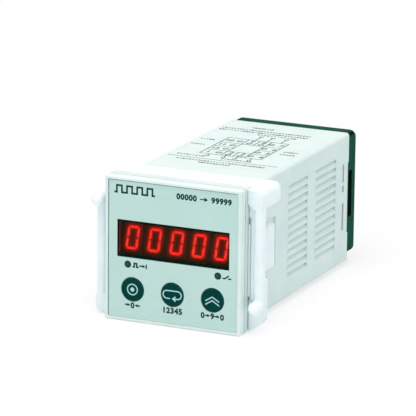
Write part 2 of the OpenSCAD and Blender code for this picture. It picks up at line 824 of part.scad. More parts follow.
module relay() {
    y1 = rear_board_y - relay_end;
    color([0.1, 0.12, 0.14]) span([side_board_x - relay_w, y1 - relay_l, -relay_h / 2],
        [side_board_x, y1, relay_h / 2]);
}

// Upright capacitor on the power board
module capacitor(dia, l, z) {
    color([0.1, 0.12, 0.3]) translate([-side_board_x, cap_place_y, z]) rotate([0, 90, 0])
        cylinder(d = dia, h = l);
}

// Disc that stands on edge on the power board, on its two leads
module surge_disc() {
    lead_w = disc_t / 5;
    color([0.1, 0.2, 0.5]) union() {
        rod(disc_dia, -side_board_x + 0.65 * disc_dia, cap_z, disc_place_y - disc_t / 2, disc_place_y + disc_t / 2);
        for (z = [-disc_t, disc_t] / 2) span([-side_board_x, disc_place_y - lead_w / 2, cap_z + z - lead_w / 2],
            [-side_board_x + disc_dia / 2, disc_place_y + lead_w / 2, cap_z + z + lead_w / 2]);
    }
}

module controller_chip() {
    color([0.07, 0.07, 0.08]) span([side_board_x - chip_t, side_board_y + chip_y, -chip_w / 2],
        [side_board_x, side_board_y + chip_y + chip_w, chip_w / 2]);
}

module terminal_block() {
    plug_w = case_in_w - 2 * plug_gap;
    plug_h = case_in_h - 2 * plug_gap;
    color([0.12, 0.15, 0.14]) {
        difference() {
            union() {
                translate([0, 0, block_z]) along_y(case_d, block_back) round_rect(block_w, block_h, block_r);
                along_y(case_d - plug_l, case_d + eps) square([plug_w, plug_h], center = true);
            }
            along_y(case_d - plug_l - past, bay_floor - bay_floor_t)
                square([plug_w - 2 * plug_wall, plug_h - 2 * plug_wall], center = true);
            for (p = bay_places) {
                translate([p[0], 0, p[1]]) along_y(bay_floor, block_back + past) square(bay_w, center = true);
                rod(screw_dia + 2 * hole_gap, p[0], p[1], bay_floor - screw_reach - 2 * hole_gap, bay_floor + past);
                tail(p, tail_gap);
            }
            both_sides() {
                side_opening();
                top_and_bottom() board_notch();
            }
        }
        both_sides() for (w = hook_windows) snap_hook(w);
    }
}

// Opening in the block's right side, through which wires reach the side terminals
module side_opening() {
    y0 = case_d + tail_gap;
    span([block_w / 2 - block_wall - eps, y0, block_z - side_open_w / 2],
        [block_w / 2 + past, y0 + side_open_d, block_z + side_open_w / 2]);
}

// Notch in the plug's front edge for the end of the right side board
module board_notch() {
    span([side_board_x - board_gap, case_d - plug_l - past, -eps],
        [side_board_out + board_gap, rear_board_y + board_gap, case_h / 2]);
}

// Wedge on the plug's right side that snaps into a window of the case
module snap_hook(w) {
    x0 = case_in_w / 2 - plug_gap - eps;
    x1 = case_w / 2 - hook_sink;
    h = w[1] - 2 * hook_gap;
    translate([0, 0, w[0] - h / 2]) linear_extrude(h) polygon([
        [x0, hook_y - hook_w / 2 + hook_gap], [x1, hook_y + hook_w / 2 - 2 * hook_gap],
        [x1, hook_y + hook_w / 2 - hook_gap], [x0, hook_y + hook_w / 2 - hook_gap]]);
}

// Solder tail of the terminal contact at one bay, on the side away from the outer edge
module tail(p, gap) {
    at_side = abs(p[0]) > bay_pitch;
    x = p[0] - (at_side ? sign(p[0]) * tail_off : 0);
    z = p[1] - (at_side ? 0 : sign(p[1] - block_z) * tail_off);
    size = at_side ? [contact_t, tail_w] : [tail_w, contact_t];
    translate([x, 0, z]) along_y(rear_board_y - tail_out - gap, bay_floor + eps)
        square([size[0] + 2 * gap, size[1] + 2 * gap], center = true);
}

module terminal_contacts() {
    color([0.85, 0.75, 0.45]) for (p = bay_places) {
        difference() {
            translate([p[0], 0, p[1]]) along_y(bay_floor, bay_floor + contact_t)
                square(bay_w - 2 * contact_gap, center = true);
            rod(screw_dia + 2 * hole_gap, p[0], p[1], bay_floor - past, bay_floor + contact_t + past);
        }
        tail(p, 0);
    }
}

module clamping_washers() {
    y0 = bay_floor + contact_t;
    color([0.8, 0.8, 0.82]) for (p = bay_places) difference() {
        translate([p[0], 0, p[1]]) along_y(y0, y0 + washer_t) square(bay_w - 2 * washer_room, center = true);
        rod(screw_dia + 2 * hole_gap, p[0], p[1], y0 - past, y0 + washer_t + past);
    }
}

module terminal_screws() {
    y0 = bay_floor + contact_t + washer_t;
    y1 = y0 + screw_head_h;
    color([0.78, 0.78, 0.8]) for (p = bay_places) difference() {
        union() {
            rod(screw_head_dia, p[0], p[1], y0, y1);
            rod(screw_dia, p[0], p[1], bay_floor - screw_reach, y0 + eps);
        }
        for (size = [[recess_w, recess_l], [recess_l, recess_w]])
            translate([p[0], 0, p[1]]) along_y(y1 - recess_d, y1 + past) square(size, center = true);
    }
}

// Arm of the right side, from its root down to the foot, with rounded front edges
module clamp_arm() {
    translate([0, 0, -foot_z]) linear_extrude(root_z + root_low_r + foot_z) {
        translate([arm_x, arm_r - arm_front]) square([arm_t, arm_d - arm_r]);
        translate([arm_x + arm_r, -arm_front]) square([arm_t - 2 * arm_r, arm_r + eps]);
        for (x = [arm_x + arm_r, arm_out - arm_r]) translate([x, arm_r - arm_front]) circle(r = arm_r);
    }
    translate([arm_x, (arm_back - arm_front) / 2, -foot_z]) rotate([0, 90, 0]) cylinder(d = arm_d, h = arm_t);
    translate([arm_x + arm_t / 2, -foot_front, -foot_z]) sphere(r = foot_r);
    rod(2 * foot_r, arm_x + arm_t / 2, -foot_z, -foot_front, 0);
}

// Block at the top right corner that carries the arm, rounded along its outer edges
module clamp_root() {
    along_y(-arm_front, collar_end) intersection() {
        union() {
            translate([0, root_z]) square([arm_out - root_r, root_h]);
            translate([0, root_z]) square([arm_out - root_low_r, root_low_r]);
            translate([0, root_z + root_low_r]) square([arm_out, root_h - root_r - root_low_r]);
            translate([arm_out - root_r, collar_h / 2 - root_r]) circle(r = root_r);
            translate([arm_out - root_low_r, root_z + root_low_r]) circle(r = root_low_r);
        }
        polygon([[skirt_x, root_z + root_slope], [arm_x, root_z], [arm_out + past, root_z],
            [arm_out + past, root_z + root_h], [skirt_x, root_z + root_h]]);
    }
}

// Side wall between the root block and the free corner, cut back beside the tongue
module clamp_side() {
    z0 = -collar_h / 2 + collar_r;
    span([collar_in_w / 2, collar_y, z0], [side_x, collar_end - side_cut, collar_h / 2 - collar_r]);
    span([collar_in_w / 2, collar_y, z0], [side_x, collar_end, tongue_bottom - notch_w]);
}

// Lip and its floor, web on the arm and corner skirt beside the flange, and the top wall's edge
module clamp_front() {
    web_x = skirt_x + lip_t + lip_slit;
    span([skirt_x, -lip_front, -lip_z], [skirt_x + lip_t, collar_y + eps, lip_z]);
    span([skirt_x, slit_d - web_front, -skirt_z - eps],
        [web_x - lip_slit / 4, collar_y + eps, lip_z + lip_notch + eps]);
    span([web_x, -web_front, web_gap - skirt_z], [arm_x + eps, arm_back, lip_z + lip_notch + eps]);
    span([skirt_x, -web_front, lip_z + lip_notch], [arm_x + eps, collar_y + eps, root_z + root_slope]);
    along_y(collar_front, collar_y + eps) {
        intersection() {
            round_rect(2 * side_x, collar_h, collar_r);
            translate([skirt_x, -collar_h / 2]) square([side_x, collar_h / 2 - skirt_z]);
        }
        intersection() {
            round_rect(top_edge_w, top_edge_w, bezel_r);
            translate([-top_edge_w / 2, collar_in_h / 2]) square([top_edge_w, collar_wall]);
        }
    }
}

// Latch tongue with two teeth that hook over the ratchet of the case
module latch_tongue() {
    tooth_x = side_x - tongue_t + eps;
    span([side_x - tongue_t, collar_end - side_cut - tongue_hold, tongue_bottom], [side_x, tongue_end, tongue_top]);
    translate([0, 0, tongue_bottom]) linear_extrude(tongue_top - tongue_bottom)
        for (k = [0, 1]) translate([0, tongue_end - tongue_tip - k * tooth_pitch])
            polygon([[tooth_x, 0], [collar_in_w / 2, 0], [tooth_x, -tooth_pitch * 0.8]]);
}

module mounting_clamp() {
    color([0.93, 0.97, 0.98]) {
        difference() {
            along_y(collar_y, collar_end) round_rect(2 * side_x, collar_h, collar_r);
            along_y(collar_y - past, collar_end + past) square([collar_in_w, collar_in_h], center = true);
            // Room beside the latch tongues and behind the side walls
            for (a = [0, 180]) rotate([0, a, 0])
                span([case_w / 2, collar_end - side_cut, tongue_bottom - notch_w],
                    [side_x + past, collar_end + past, root_z]);
        }
        for (a = [0, 180]) rotate([0, a, 0]) {
            clamp_root();
            clamp_arm();
            clamp_side();
            clamp_front();
            latch_tongue();
        }
    }
}

case_shell();  // case
bezel();
fascia_film();
display_window();
digit_module(0);  // digit_module_1
digit_module(1);  // digit_module_2
digit_module(2);  // digit_module_3
digit_module(3);  // digit_module_4
digit_module(4);  // digit_module_5
lit_segments();
dark_segments();
lamp(-lamp_x);  // input_lamp
lamp(lamp_x);  // output_lamp
key(-key_pitch);  // reset_key
key(0);  // select_key
key(key_pitch);  // advance_key
plunger(-key_pitch);  // reset_plunger
plunger(0);  // select_plunger
plunger(key_pitch);  // advance_plunger
key_switch(-key_pitch);  // reset_switch
key_switch(0);  // select_switch
key_switch(key_pitch);  // advance_switch
display_board();
board_screws();
mirror([1, 0, 0]) side_board();  // power_board
side_board();  // logic_board
rear_board();
board_headers();
transformer_base();
transformer_core();
transformer_winding();
relay();
capacitor(main_cap_dia, main_cap_l, cap_z);  // main_capacitor
capacitor(small_cap_dia, small_cap_l, -cap_z);  // small_capacitor
surge_disc();
controller_chip();
terminal_block();
terminal_contacts();
clamping_washers();
terminal_screws();
mounting_clamp();
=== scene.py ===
import math

import bmesh
import bpy
from mathutils import Matrix, Vector


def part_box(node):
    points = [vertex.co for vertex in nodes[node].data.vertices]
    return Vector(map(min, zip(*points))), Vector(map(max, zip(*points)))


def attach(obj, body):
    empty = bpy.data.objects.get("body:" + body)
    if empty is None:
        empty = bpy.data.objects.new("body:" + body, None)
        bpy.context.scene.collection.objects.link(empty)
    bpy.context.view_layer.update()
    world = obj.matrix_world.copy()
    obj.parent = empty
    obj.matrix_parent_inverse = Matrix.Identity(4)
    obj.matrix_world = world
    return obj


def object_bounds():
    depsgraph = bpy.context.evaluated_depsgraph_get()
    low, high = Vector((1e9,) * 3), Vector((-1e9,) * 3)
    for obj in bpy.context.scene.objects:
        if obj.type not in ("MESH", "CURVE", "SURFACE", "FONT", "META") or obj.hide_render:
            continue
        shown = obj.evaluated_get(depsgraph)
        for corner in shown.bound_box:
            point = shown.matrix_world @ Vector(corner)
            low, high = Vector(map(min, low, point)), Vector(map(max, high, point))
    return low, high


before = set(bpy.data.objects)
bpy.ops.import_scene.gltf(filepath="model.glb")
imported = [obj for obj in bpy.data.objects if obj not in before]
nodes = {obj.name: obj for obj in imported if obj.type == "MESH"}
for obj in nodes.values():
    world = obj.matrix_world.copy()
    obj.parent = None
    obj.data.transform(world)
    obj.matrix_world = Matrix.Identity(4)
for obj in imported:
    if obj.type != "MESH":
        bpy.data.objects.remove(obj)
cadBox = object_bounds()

mm = 0.001
scene = bpy.context.scene


def srgb(red, green, blue):
    # Screen values from 0 to 255, as linear light
    def linear(value):
        value /= 255
        return value / 12.92 if value <= 0.04045 else ((value + 0.055) / 1.055) ** 2.4
    return (linear(red), linear(green), linear(blue), 1)


def boxMiddle(name, axis):
    low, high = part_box(name)
    return (getattr(low, axis) + getattr(high, axis)) / 2


def addNode(tree, kind, settings=None, **inputs):
    # A kind without "Node" in it is a shader node's short name
    node = tree.nodes.new(kind if "Node" in kind else "ShaderNode" + kind)
    for key, value in (settings or {}).items():
        setattr(node, key, value)
    for key, value in inputs.items():
        socket = node.inputs[key.replace("_", " ")]
        if isinstance(value, bpy.types.NodeSocket):
            tree.links.new(value, socket)
        else:
            socket.default_value = value
    return node


def mixColour(tree, factor, first, second):
    node = addNode(tree, "Mix", {"data_type": "RGBA"})
    for index, value in ((0, factor), (6, first), (7, second)):
        if isinstance(value, bpy.types.NodeSocket):
            tree.links.new(value, node.inputs[index])
        else:
            node.inputs[index].default_value = value
    return node.outputs[2]


def remap(tree, value, low, high, toLow, toHigh):
    node = addNode(tree, "MapRange", None, Value=value)
    for name, number in (("From Min", low), ("From Max", high), ("To Min", toLow), ("To Max", toHigh)):
        node.inputs[name].default_value = number
    return node.outputs["Result"]


def startMaterial(name):
    material = bpy.data.materials.new(name)
    material.use_nodes = True
    tree = material.node_tree
    shader = tree.nodes["Principled BSDF"]
    place = addNode(tree, "TexCoord").outputs["Object"]
    return material, tree, shader, place


# Noise values between which clouds and grain run, and how edges and roughness vary
surfaceLook = {
    "cloud": (0.35, 0.65),
    "grain": (0.3, 0.7),
    "plasticSpread": 0.05,
    "metalSpread": 0.08,
    "metalDepth": 0.01,
    "gloss": 0.5,
    "milkDepth": 3,
    "edgeSamples": 4,
    "edgeTurn": (0.985, 0.8),
}


def edgeMask(tree, radius):
    # Bevel rounds the shading of sharp edges, and its turn against the flat normal finds them
    edge = addNode(tree, "Bevel", {"samples": surfaceLook["edgeSamples"]}, Radius=radius * mm).outputs["Normal"]
    flat = addNode(tree, "NewGeometry").outputs["Normal"]
    turn = addNode(tree, "VectorMath", {"operation": "DOT_PRODUCT"})
    tree.links.new(edge, turn.inputs[0])
    tree.links.new(flat, turn.inputs[1])
    return edge, remap(tree, turn.outputs["Value"], *surfaceLook["edgeTurn"], 0, 1)


def calculate(tree, operation, first, second=None):
    node = addNode(tree, "Math", {"operation": operation})
    for index, value in enumerate((first, second)):
        if isinstance(value, bpy.types.NodeSocket):
            tree.links.new(value, node.inputs[index])
        elif value is not None:
            node.inputs[index].default_value = value
    return node.outputs[0]


def vectorLength(tree, vector):
    node = addNode(tree, "VectorMath", {"operation": "LENGTH"})
    tree.links.new(vector, node.inputs[0])
    return node.outputs["Value"]


def outsideMask(tree, place, skin):
    # One on the outer faces of a block, and zero on the walls of its openings and bays, where shade is painted
    parts = addNode(tree, "SeparateXYZ", None, Vector=place)
    sideways = calculate(tree, "ABSOLUTE", parts.outputs["X"])
    upwards = calculate(tree, "ABSOLUTE", calculate(tree, "SUBTRACT", parts.outputs["Z"], skin["middle"].z))
    masks = [remap(tree, away, limit - skin["deep"] * mm, limit - skin["shallow"] * mm, 0, 1) for away, limit in
        ((sideways, skin["reach"].x), (upwards, skin["reach"].z), (parts.outputs["Y"], skin["reach"].y))]
    return calculate(tree, "MAXIMUM", masks[0], calculate(tree, "MAXIMUM", masks[1], masks[2]))


def mouldedPlastic(name, look):
    material, tree, shader, place = startMaterial(name)
    cloud = addNode(tree, "TexNoise", None, Vector=place, Scale=1000 / look["cloud"], Detail=3.0)
    grain = addNode(tree, "TexNoise", None, Vector=place, Scale=1000 / look["grain"], Detail=2.0)
    edge, edgeWearAndHighlight = edgeMask(tree, look["edge"])
    spread = remap(tree, cloud.outputs["Fac"], *surfaceLook["cloud"], 0, 1)
    colour = mixColour(tree, spread, look["shade"], look["colour"])
    if "paintedRecessShade" in look:
        # Painted shade: the walls of the block's openings and bays take a darker colour
        colour = mixColour(tree, outsideMask(tree, place, look["paintedRecessShade"]), look["paintedRecessShade"]["colour"], colour)
    # Edges take a lighter colour: partly wear, partly a painted highlight along each edge
    wornAndLitShare = remap(tree, edgeWearAndHighlight, 0, 1, 0, look.get("wearAndHighlight", 0))
    tree.links.new(mixColour(tree, wornAndLitShare, colour, look.get("edgeWearAndHighlight", look["colour"])), shader.inputs["Base Color"])
    vary, gloss = surfaceLook["plasticSpread"], surfaceLook["gloss"]
    rough = remap(tree, grain.outputs["Fac"], *surfaceLook["grain"], look["rough"] - vary, look["rough"] + vary)
    tree.links.new(rough, shader.inputs["Roughness"])
    tree.links.new(remap(tree, edgeWearAndHighlight, 0, 1, look.get("gloss", gloss), gloss), shader.inputs["Specular IOR Level"])
    shader.inputs["Subsurface Weight"].default_value = look.get("milky", 0)
    shader.inputs["Subsurface Radius"].default_value = (1, 1, 1)
    shader.inputs["Subsurface Scale"].default_value = surfaceLook["milkDepth"] * mm
    # Painted glow: a faint emission in the moulding's own colour that lightens its gaps, standing in for light through
    # the milky moulding
    shader.inputs["Emission Color"].default_value = look["colour"]
    shader.inputs["Emission Strength"].default_value = look.get("through", 0)
    bump = addNode(tree, "Bump", None, Strength=look["bump"], Distance=look["depth"] * mm,
        Height=grain.outputs["Fac"], Normal=edge)
    tree.links.new(bump.outputs["Normal"], shader.inputs["Normal"])
    return material


blockLow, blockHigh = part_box("terminal_block")
blockMiddle = (blockLow + blockHigh) / 2
blockReach = Vector((blockHigh.x, blockHigh.y, blockHigh.z - blockMiddle.z))  # half width, rear face, half height
# The lighter edge colours below are partly wear and partly a painted edge highlight
plasticLooks = {
    "casePlastic": dict(colour=srgb(216, 234, 231), shade=srgb(210, 230, 227), edgeWearAndHighlight=srgb(232, 243, 242), wearAndHighlight=0.35,
        rough=0.46, grain=0.16, bump=0.25, depth=0.02, cloud=9, edge=0.25),
    "bezelPlastic": dict(colour=srgb(224, 239, 237), shade=srgb(218, 236, 233), edgeWearAndHighlight=srgb(238, 247, 246), wearAndHighlight=0.5,
        rough=0.4, grain=0.14, bump=0.2, depth=0.015, cloud=8, edge=0.2),
    "clampNylon": dict(colour=srgb(231, 243, 246), shade=srgb(224, 238, 242), edgeWearAndHighlight=srgb(244, 250, 251), wearAndHighlight=0.4,
        # the last value is a painted glow that lightens the clamp's gaps
        rough=0.36, grain=0.3, bump=0.15, depth=0.02, cloud=6, edge=0.35, milky=0.35, through=0.06),
    "filmSatin": dict(colour=srgb(192, 223, 218), shade=srgb(187, 220, 214), edgeWearAndHighlight=srgb(208, 232, 229), wearAndHighlight=0.3,
        rough=0.42, grain=0.09, bump=0.2, depth=0.008, cloud=14, edge=0.05, gloss=0.3),
    "keyCap": dict(colour=srgb(0, 66, 61), shade=srgb(0, 57, 53), edgeWearAndHighlight=srgb(74, 124, 116), wearAndHighlight=0.7,
        rough=0.45, grain=0.12, bump=0.25, depth=0.015, cloud=1.2, edge=0.2, gloss=0.03),
    "tealInk": dict(colour=srgb(16, 66, 62), shade=srgb(10, 56, 53),
        rough=0.5, grain=0.05, bump=0.1, depth=0.004, cloud=1, edge=0.01, gloss=0.1),
    "paleInk": dict(colour=srgb(176, 216, 218), shade=srgb(158, 204, 208),
        rough=0.5, grain=0.05, bump=0.1, depth=0.004, cloud=0.8, edge=0.01),
    "greyInk": dict(colour=srgb(44, 88, 78), shade=srgb(86, 126, 117),
        rough=0.55, grain=0.08, bump=0.1, depth=0.004, cloud=1.2, edge=0.01),
    # painted shadow of the film's recess
    "recessShadowInk": dict(colour=srgb(96, 140, 132), shade=srgb(80, 124, 116),
        rough=0.5, grain=0.05, bump=0.1, depth=0.004, cloud=3, edge=0.01, gloss=0.1),
    "redInk": dict(colour=srgb(156, 36, 28), shade=srgb(130, 26, 22),
        rough=0.5, grain=0.05, bump=0.1, depth=0.004, cloud=2, edge=0.01, gloss=0),
    "blackInk": dict(colour=srgb(10, 36, 26), shade=srgb(5, 26, 18),
        rough=0.4, grain=0.05, bump=0.1, depth=0.004, cloud=1, edge=0.01, gloss=0),
    "moduleFace": dict(colour=srgb(42, 84, 46), shade=srgb(36, 72, 40),
        rough=0.6, grain=0.1, bump=0.2, depth=0.01, cloud=2, edge=0.05, gloss=0),
    "unlitSegment": dict(colour=srgb(56, 64, 38), shade=srgb(48, 54, 32),
        rough=0.5, grain=0.1, bump=0.1, depth=0.005, cloud=2, edge=0.03, gloss=0),
    "switchBlack": dict(colour=srgb(34, 35, 38), shade=srgb(26, 27, 30), edgeWearAndHighlight=srgb(70, 72, 76), wearAndHighlight=0.4,
        rough=0.45, grain=0.2, bump=0.2, depth=0.02, cloud=3, edge=0.15),
    "relayCover": dict(colour=srgb(44, 50, 58), shade=srgb(36, 41, 48), edgeWearAndHighlight=srgb(80, 86, 94), wearAndHighlight=0.4,
        rough=0.3, grain=0.3, bump=0.15, depth=0.02, cloud=5, edge=0.3),
    "blockThermoset": dict(colour=srgb(38, 88, 70), shade=srgb(31, 78, 61), edgeWearAndHighlight=srgb(68, 118, 100), wearAndHighlight=0.4,
        rough=0.5, grain=0.2, bump=0.3, depth=0.02, cloud=5, edge=0.25, gloss=0,
        # painted shade on the walls of the openings and bays
        paintedRecessShade=dict(middle=blockMiddle, reach=blockReach, deep=0.4, shallow=0.15, colour=srgb(10, 34, 24))),
    "sleeveBlue": dict(colour=srgb(30, 36, 84), shade=srgb(24, 29, 70), edgeWearAndHighlight=srgb(60, 66, 120), wearAndHighlight=0.3,
        rough=0.28, grain=0.4, bump=0.1, depth=0.02, cloud=4, edge=0.4),
    "discCoating": dict(colour=srgb(42, 78, 152), shade=srgb(34, 66, 134), edgeWearAndHighlight=srgb(80, 112, 180), wearAndHighlight=0.3,
        rough=0.25, grain=0.5, bump=0.3, depth=0.04, cloud=2, edge=0.5),
}
materials = {name: mouldedPlastic(name, look) for name, look in plasticLooks.items()}


def platedMetal(name, look):
    # Fine turned or rolled lines over plated metal, with a slightly uneven tone
    material, tree, shader, place = startMaterial(name)
    stretch = addNode(tree, "Mapping", None, Vector=place)
    stretch.inputs["Scale"].default_value = look["stretch"]
    lines = addNode(tree, "TexNoise", None, Vector=stretch.outputs["Vector"], Scale=1000 / look["line"], Detail=4.0)
    cloud = addNode(tree, "TexNoise", None, Vector=place, Scale=1000 / look["cloud"], Detail=2.0)
    spread = remap(tree, cloud.outputs["Fac"], *surfaceLook["cloud"], 0, 1)
    tree.links.new(mixColour(tree, spread, look["shade"], look["colour"]), shader.inputs["Base Color"])
    vary = surfaceLook["metalSpread"]
    rough = remap(tree, lines.outputs["Fac"], *surfaceLook["grain"], look["rough"] - vary, look["rough"] + vary)
    tree.links.new(rough, shader.inputs["Roughness"])
    shader.inputs["Metallic"].default_value = look.get("metal", 1)
    edge = edgeMask(tree, look["edge"])[0]
    bump = addNode(tree, "Bump", None, Strength=look["bump"], Distance=surfaceLook["metalDepth"] * mm,
        Height=lines.outputs["Fac"], Normal=edge)
    tree.links.new(bump.outputs["Normal"], shader.inputs["Normal"])
    return material


metalLooks = {
    "platedSteel": dict(colour=srgb(214, 216, 220), shade=srgb(188, 190, 196), rough=0.3, line=0.15,
        stretch=(1, 6, 1), cloud=2, bump=0.3, edge=0.15),
    "zincWasher": dict(colour=srgb(206, 208, 206), shade=srgb(176, 180, 180), rough=0.36, line=0.2,
        stretch=(0.4, 1, 4), cloud=1.5, bump=0.3, edge=0.12),
    "tinnedBrass": dict(colour=srgb(222, 206, 158), shade=srgb(196, 178, 128), rough=0.32, line=0.2,
        stretch=(4, 1, 0.4), cloud=2, bump=0.25, edge=0.12),
    "coreLaminations": dict(colour=srgb(104, 98, 94), shade=srgb(70, 66, 64), rough=0.5, line=0.5,
        stretch=(0.02, 0.02, 1), cloud=4, bump=0.8, edge=0.1, metal=0.7),
    "copperWinding": dict(colour=srgb(206, 166, 74), shade=srgb(176, 134, 52), rough=0.34, line=0.4,
        stretch=(1, 0.02, 0.02), cloud=3, bump=0.8, edge=0.3, metal=0.2),
}
for metalName, metalLook in metalLooks.items():
    materials[metalName] = platedMetal(metalName, metalLook)


# The five lit noughts: places, slant and size, in mm, for the glow on them and on the faces round them
moduleX = [boxMiddle(f"digit_module_{k}", "x") for k in range(1, 6)]
segmentLow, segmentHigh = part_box("lit_segments")
digitLook = {
    "middleX": moduleX[2] / mm,
    "middleZ": boxMiddle("lit_segments", "z") / mm,
    "pitch": (moduleX[1] - moduleX[0]) / mm,
    "slant": math.tan(math.radians(8.5)),
    "stroke": 0.95,
    "halfHeight": (segmentHigh.z - segmentLow.z) / 2 / mm,
    "halfWidth": 2.2,
    "corner": 0.7,
    "shift": 10.5,  # in pitches: more than the digits reach, with each nought in the middle of its cell
}


def awayFromStroke(tree, place, look):
    # Distance in metres from the middle line of the nearest slanted nought, and from the nearest joint of its bars
    parts = addNode(tree, "SeparateXYZ", None, Vector=place)
    up = calculate(tree, "SUBTRACT", parts.outputs["Z"], look["middleZ"] * mm)
    lean = calculate(tree, "MULTIPLY", up, look["slant"])
    across = calculate(tree, "SUBTRACT", parts.outputs["X"], look["middleX"] * mm)
    upright = calculate(tree, "SUBTRACT", across, lean)
    pitch, corner = look["pitch"] * mm, look["corner"] * mm
    reachX = (look["halfWidth"] - look["stroke"] / 2) * mm
    reachZ = (look["halfHeight"] - look["stroke"] / 2) * mm
    shifted = calculate(tree, "ADD", upright, look["shift"] * pitch)
    inside = calculate(tree, "SUBTRACT", calculate(tree, "MODULO", shifted, pitch), pitch / 2)
    foldX, foldZ = calculate(tree, "ABSOLUTE", inside), calculate(tree, "ABSOLUTE", up)
    sideways = calculate(tree, "SUBTRACT", foldX, reachX - corner)
    upwards = calculate(tree, "SUBTRACT", foldZ, reachZ - corner)
    outer = addNode(tree, "CombineXYZ", None, X=calculate(tree, "MAXIMUM", sideways, 0.0),
        Z=calculate(tree, "MAXIMUM", upwards, 0.0))
    outward = vectorLength(tree, outer.outputs[0])
    inward = calculate(tree, "MINIMUM", calculate(tree, "MAXIMUM", sideways, upwards), 0.0)
    edge = calculate(tree, "SUBTRACT", calculate(tree, "ADD", outward, inward), corner)
    halves = calculate(tree, "ABSOLUTE", calculate(tree, "SUBTRACT", foldZ, reachZ / 2))
    joint = addNode(tree, "CombineXYZ", None, X=calculate(tree, "SUBTRACT", foldX, reachX),
        Z=calculate(tree, "SUBTRACT", halves, reachZ / 2))
    return calculate(tree, "ABSOLUTE", edge), vectorLength(tree, joint.outputs[0])


def litSegments(look):
    # Each bar is hottest in its middle, red along its edges and dimmer where it meets the next
    material, tree, shader, place = startMaterial("segmentGlow")
    spots = addNode(tree, "TexNoise", None, Vector=place, Scale=1000 / look["spot"], Detail=0.0)
    spread = remap(tree, spots.outputs["Fac"], *look["spotRange"], look["dullest"], 1)
    away, apart = awayFromStroke(tree, place, digitLook)
    hot = calculate(tree, "MULTIPLY", spread, remap(tree, away, 0, look["core"] * mm, 1, 0))
    hotter = calculate(tree, "MULTIPLY", hot,
        remap(tree, apart, look["coolFrom"] * mm, look["coolTo"] * mm, look["coolest"], 1))
    body = calculate(tree, "MULTIPLY", remap(tree, away, look["body"] * mm, digitLook["stroke"] / 2 * mm, 1, 0),
        remap(tree, apart, look["dimFrom"] * mm, look["dimTo"] * mm, look["dimmest"], 1))
    red = mixColour(tree, body, look["edge"], look["deep"])
    tree.links.new(mixColour(tree, hotter, red, look["bright"]), shader.inputs["Emission Color"])
    shader.inputs["Emission Strength"].default_value = look["strength"]
    shader.inputs["Base Color"].default_value = look["deep"]
    shader.inputs["Roughness"].default_value = look["rough"]
    return material


segmentLook = {
    "spot": 0.9,
    "spotRange": (0.4, 0.6),
    "dullest": 0.45,
    "core": 0.36,
    "body": 0.1,
    "coolFrom": 0.5,  # distances from a joint, in mm, over which the core gets hot
    "coolTo": 1.3,
    "coolest": 0.3,
    "dimFrom": 0.1,  # and over which the bar gets its full red
    "dimTo": 0.6,
    "dimmest": 0.4,
    "edge": srgb(104, 0, 5),
    "deep": srgb(236, 4, 20),
    "bright": srgb(255, 142, 116),
    "strength": 1.15,
    "rough": 0.4,
}
materials["segmentGlow"] = litSegments(segmentLook)


def litFace(name, look):
    # Painted glow: dark plastic behind and beside the bars glows red near them, for the light the bars throw on it
    tree = materials[name].node_tree
    shader = tree.nodes["Principled BSDF"]
    place = addNode(tree, "TexCoord").outputs["Object"]
    away = awayFromStroke(tree, place, digitLook)[0]
    near = remap(tree, away, digitLook["stroke"] / 2 * mm, look["reach"] * mm, 1, 0)
    soft = calculate(tree, "POWER", near, look["fall"])
    tree.links.new(mixColour(tree, soft, look["far"], look["close"]), shader.inputs["Emission Color"])
    shader.inputs["Emission Strength"].default_value = look["strength"]


faceGlow = {"reach": 2.3, "fall": 3.2, "close": srgb(160, 0, 8), "far": srgb(20, 15, 5), "strength": 1.0}
for name in ("moduleFace", "unlitSegment"):
    litFace(name, faceGlow)


def tintedAcrylic(look):
    material, tree, shader, place = startMaterial("windowAcrylic")
    cloud = addNode(tree, "TexNoise", None, Vector=place, Scale=1000 / look["cloud"], Detail=2.0)
    spread = remap(tree, cloud.outputs["Fac"], *look["range"], 0, 1)
    tree.links.new(mixColour(tree, spread, look["shade"], look["colour"]), shader.inputs["Base Color"])
    shader.inputs["Transmission Weight"].default_value = 1
    shader.inputs["Roughness"].default_value = look["rough"]
    shader.inputs["IOR"].default_value = look["bend"]
    return material


windowLook = {"cloud": 12, "range": (0.4, 0.6), "shade": srgb(230, 146, 118), "colour": srgb(236, 154, 126),
    "rough": 0.04, "bend": 1.16}
materials["windowAcrylic"] = tintedAcrylic(windowLook)


def darkLens(look):
    # Unlit lens with a faint ring of the lamp behind it, for both lamps by mirroring X
    material, tree, shader, place = startMaterial("lampLens")
    parts = addNode(tree, "SeparateXYZ", None, Vector=place)
    spot = addNode(tree, "CombineXYZ", None, X=calculate(tree, "ABSOLUTE", parts.outputs["X"]), Z=parts.outputs["Z"])
    centred = addNode(tree, "VectorMath", {"operation": "DISTANCE"})
    tree.links.new(spot.outputs[0], centred.inputs[0])
    centred.inputs[1].default_value = (look["x"], 0, look["z"])
    ring = remap(tree, centred.outputs["Value"], look["ringFrom"] * mm, look["ringTo"] * mm, 0, 1)
    speckle = addNode(tree, "TexVoronoi", None, Vector=place, Scale=1000 / look["speckle"])
    glint = remap(tree, speckle.outputs["Distance"], *look["speckleRange"], look["glint"], 0)
    inner = mixColour(tree, glint, look["middle"], look["rim"])
    tree.links.new(mixColour(tree, ring, inner, look["shade"]), shader.inputs["Base Color"])
    shader.inputs["Roughness"].default_value = look["rough"]
    shader.inputs["Specular IOR Level"].default_value = look["gloss"]
    return material


lensLook = {
    "x": boxMiddle("output_lamp", "x"),
    "z": boxMiddle("output_lamp", "z"),
    "ringFrom": 0.25,
    "ringTo": 0.8,
    "speckle": 0.35,
    "speckleRange": (0.2, 0.6),
    "glint": 0.35,
    "middle": srgb(32, 80, 67),
    "rim": srgb(78, 124, 108),
    "shade": srgb(16, 56, 47),
    "rough": 0.3,
    "gloss": 0.12,
}
materials["lampLens"] = darkLens(lensLook)


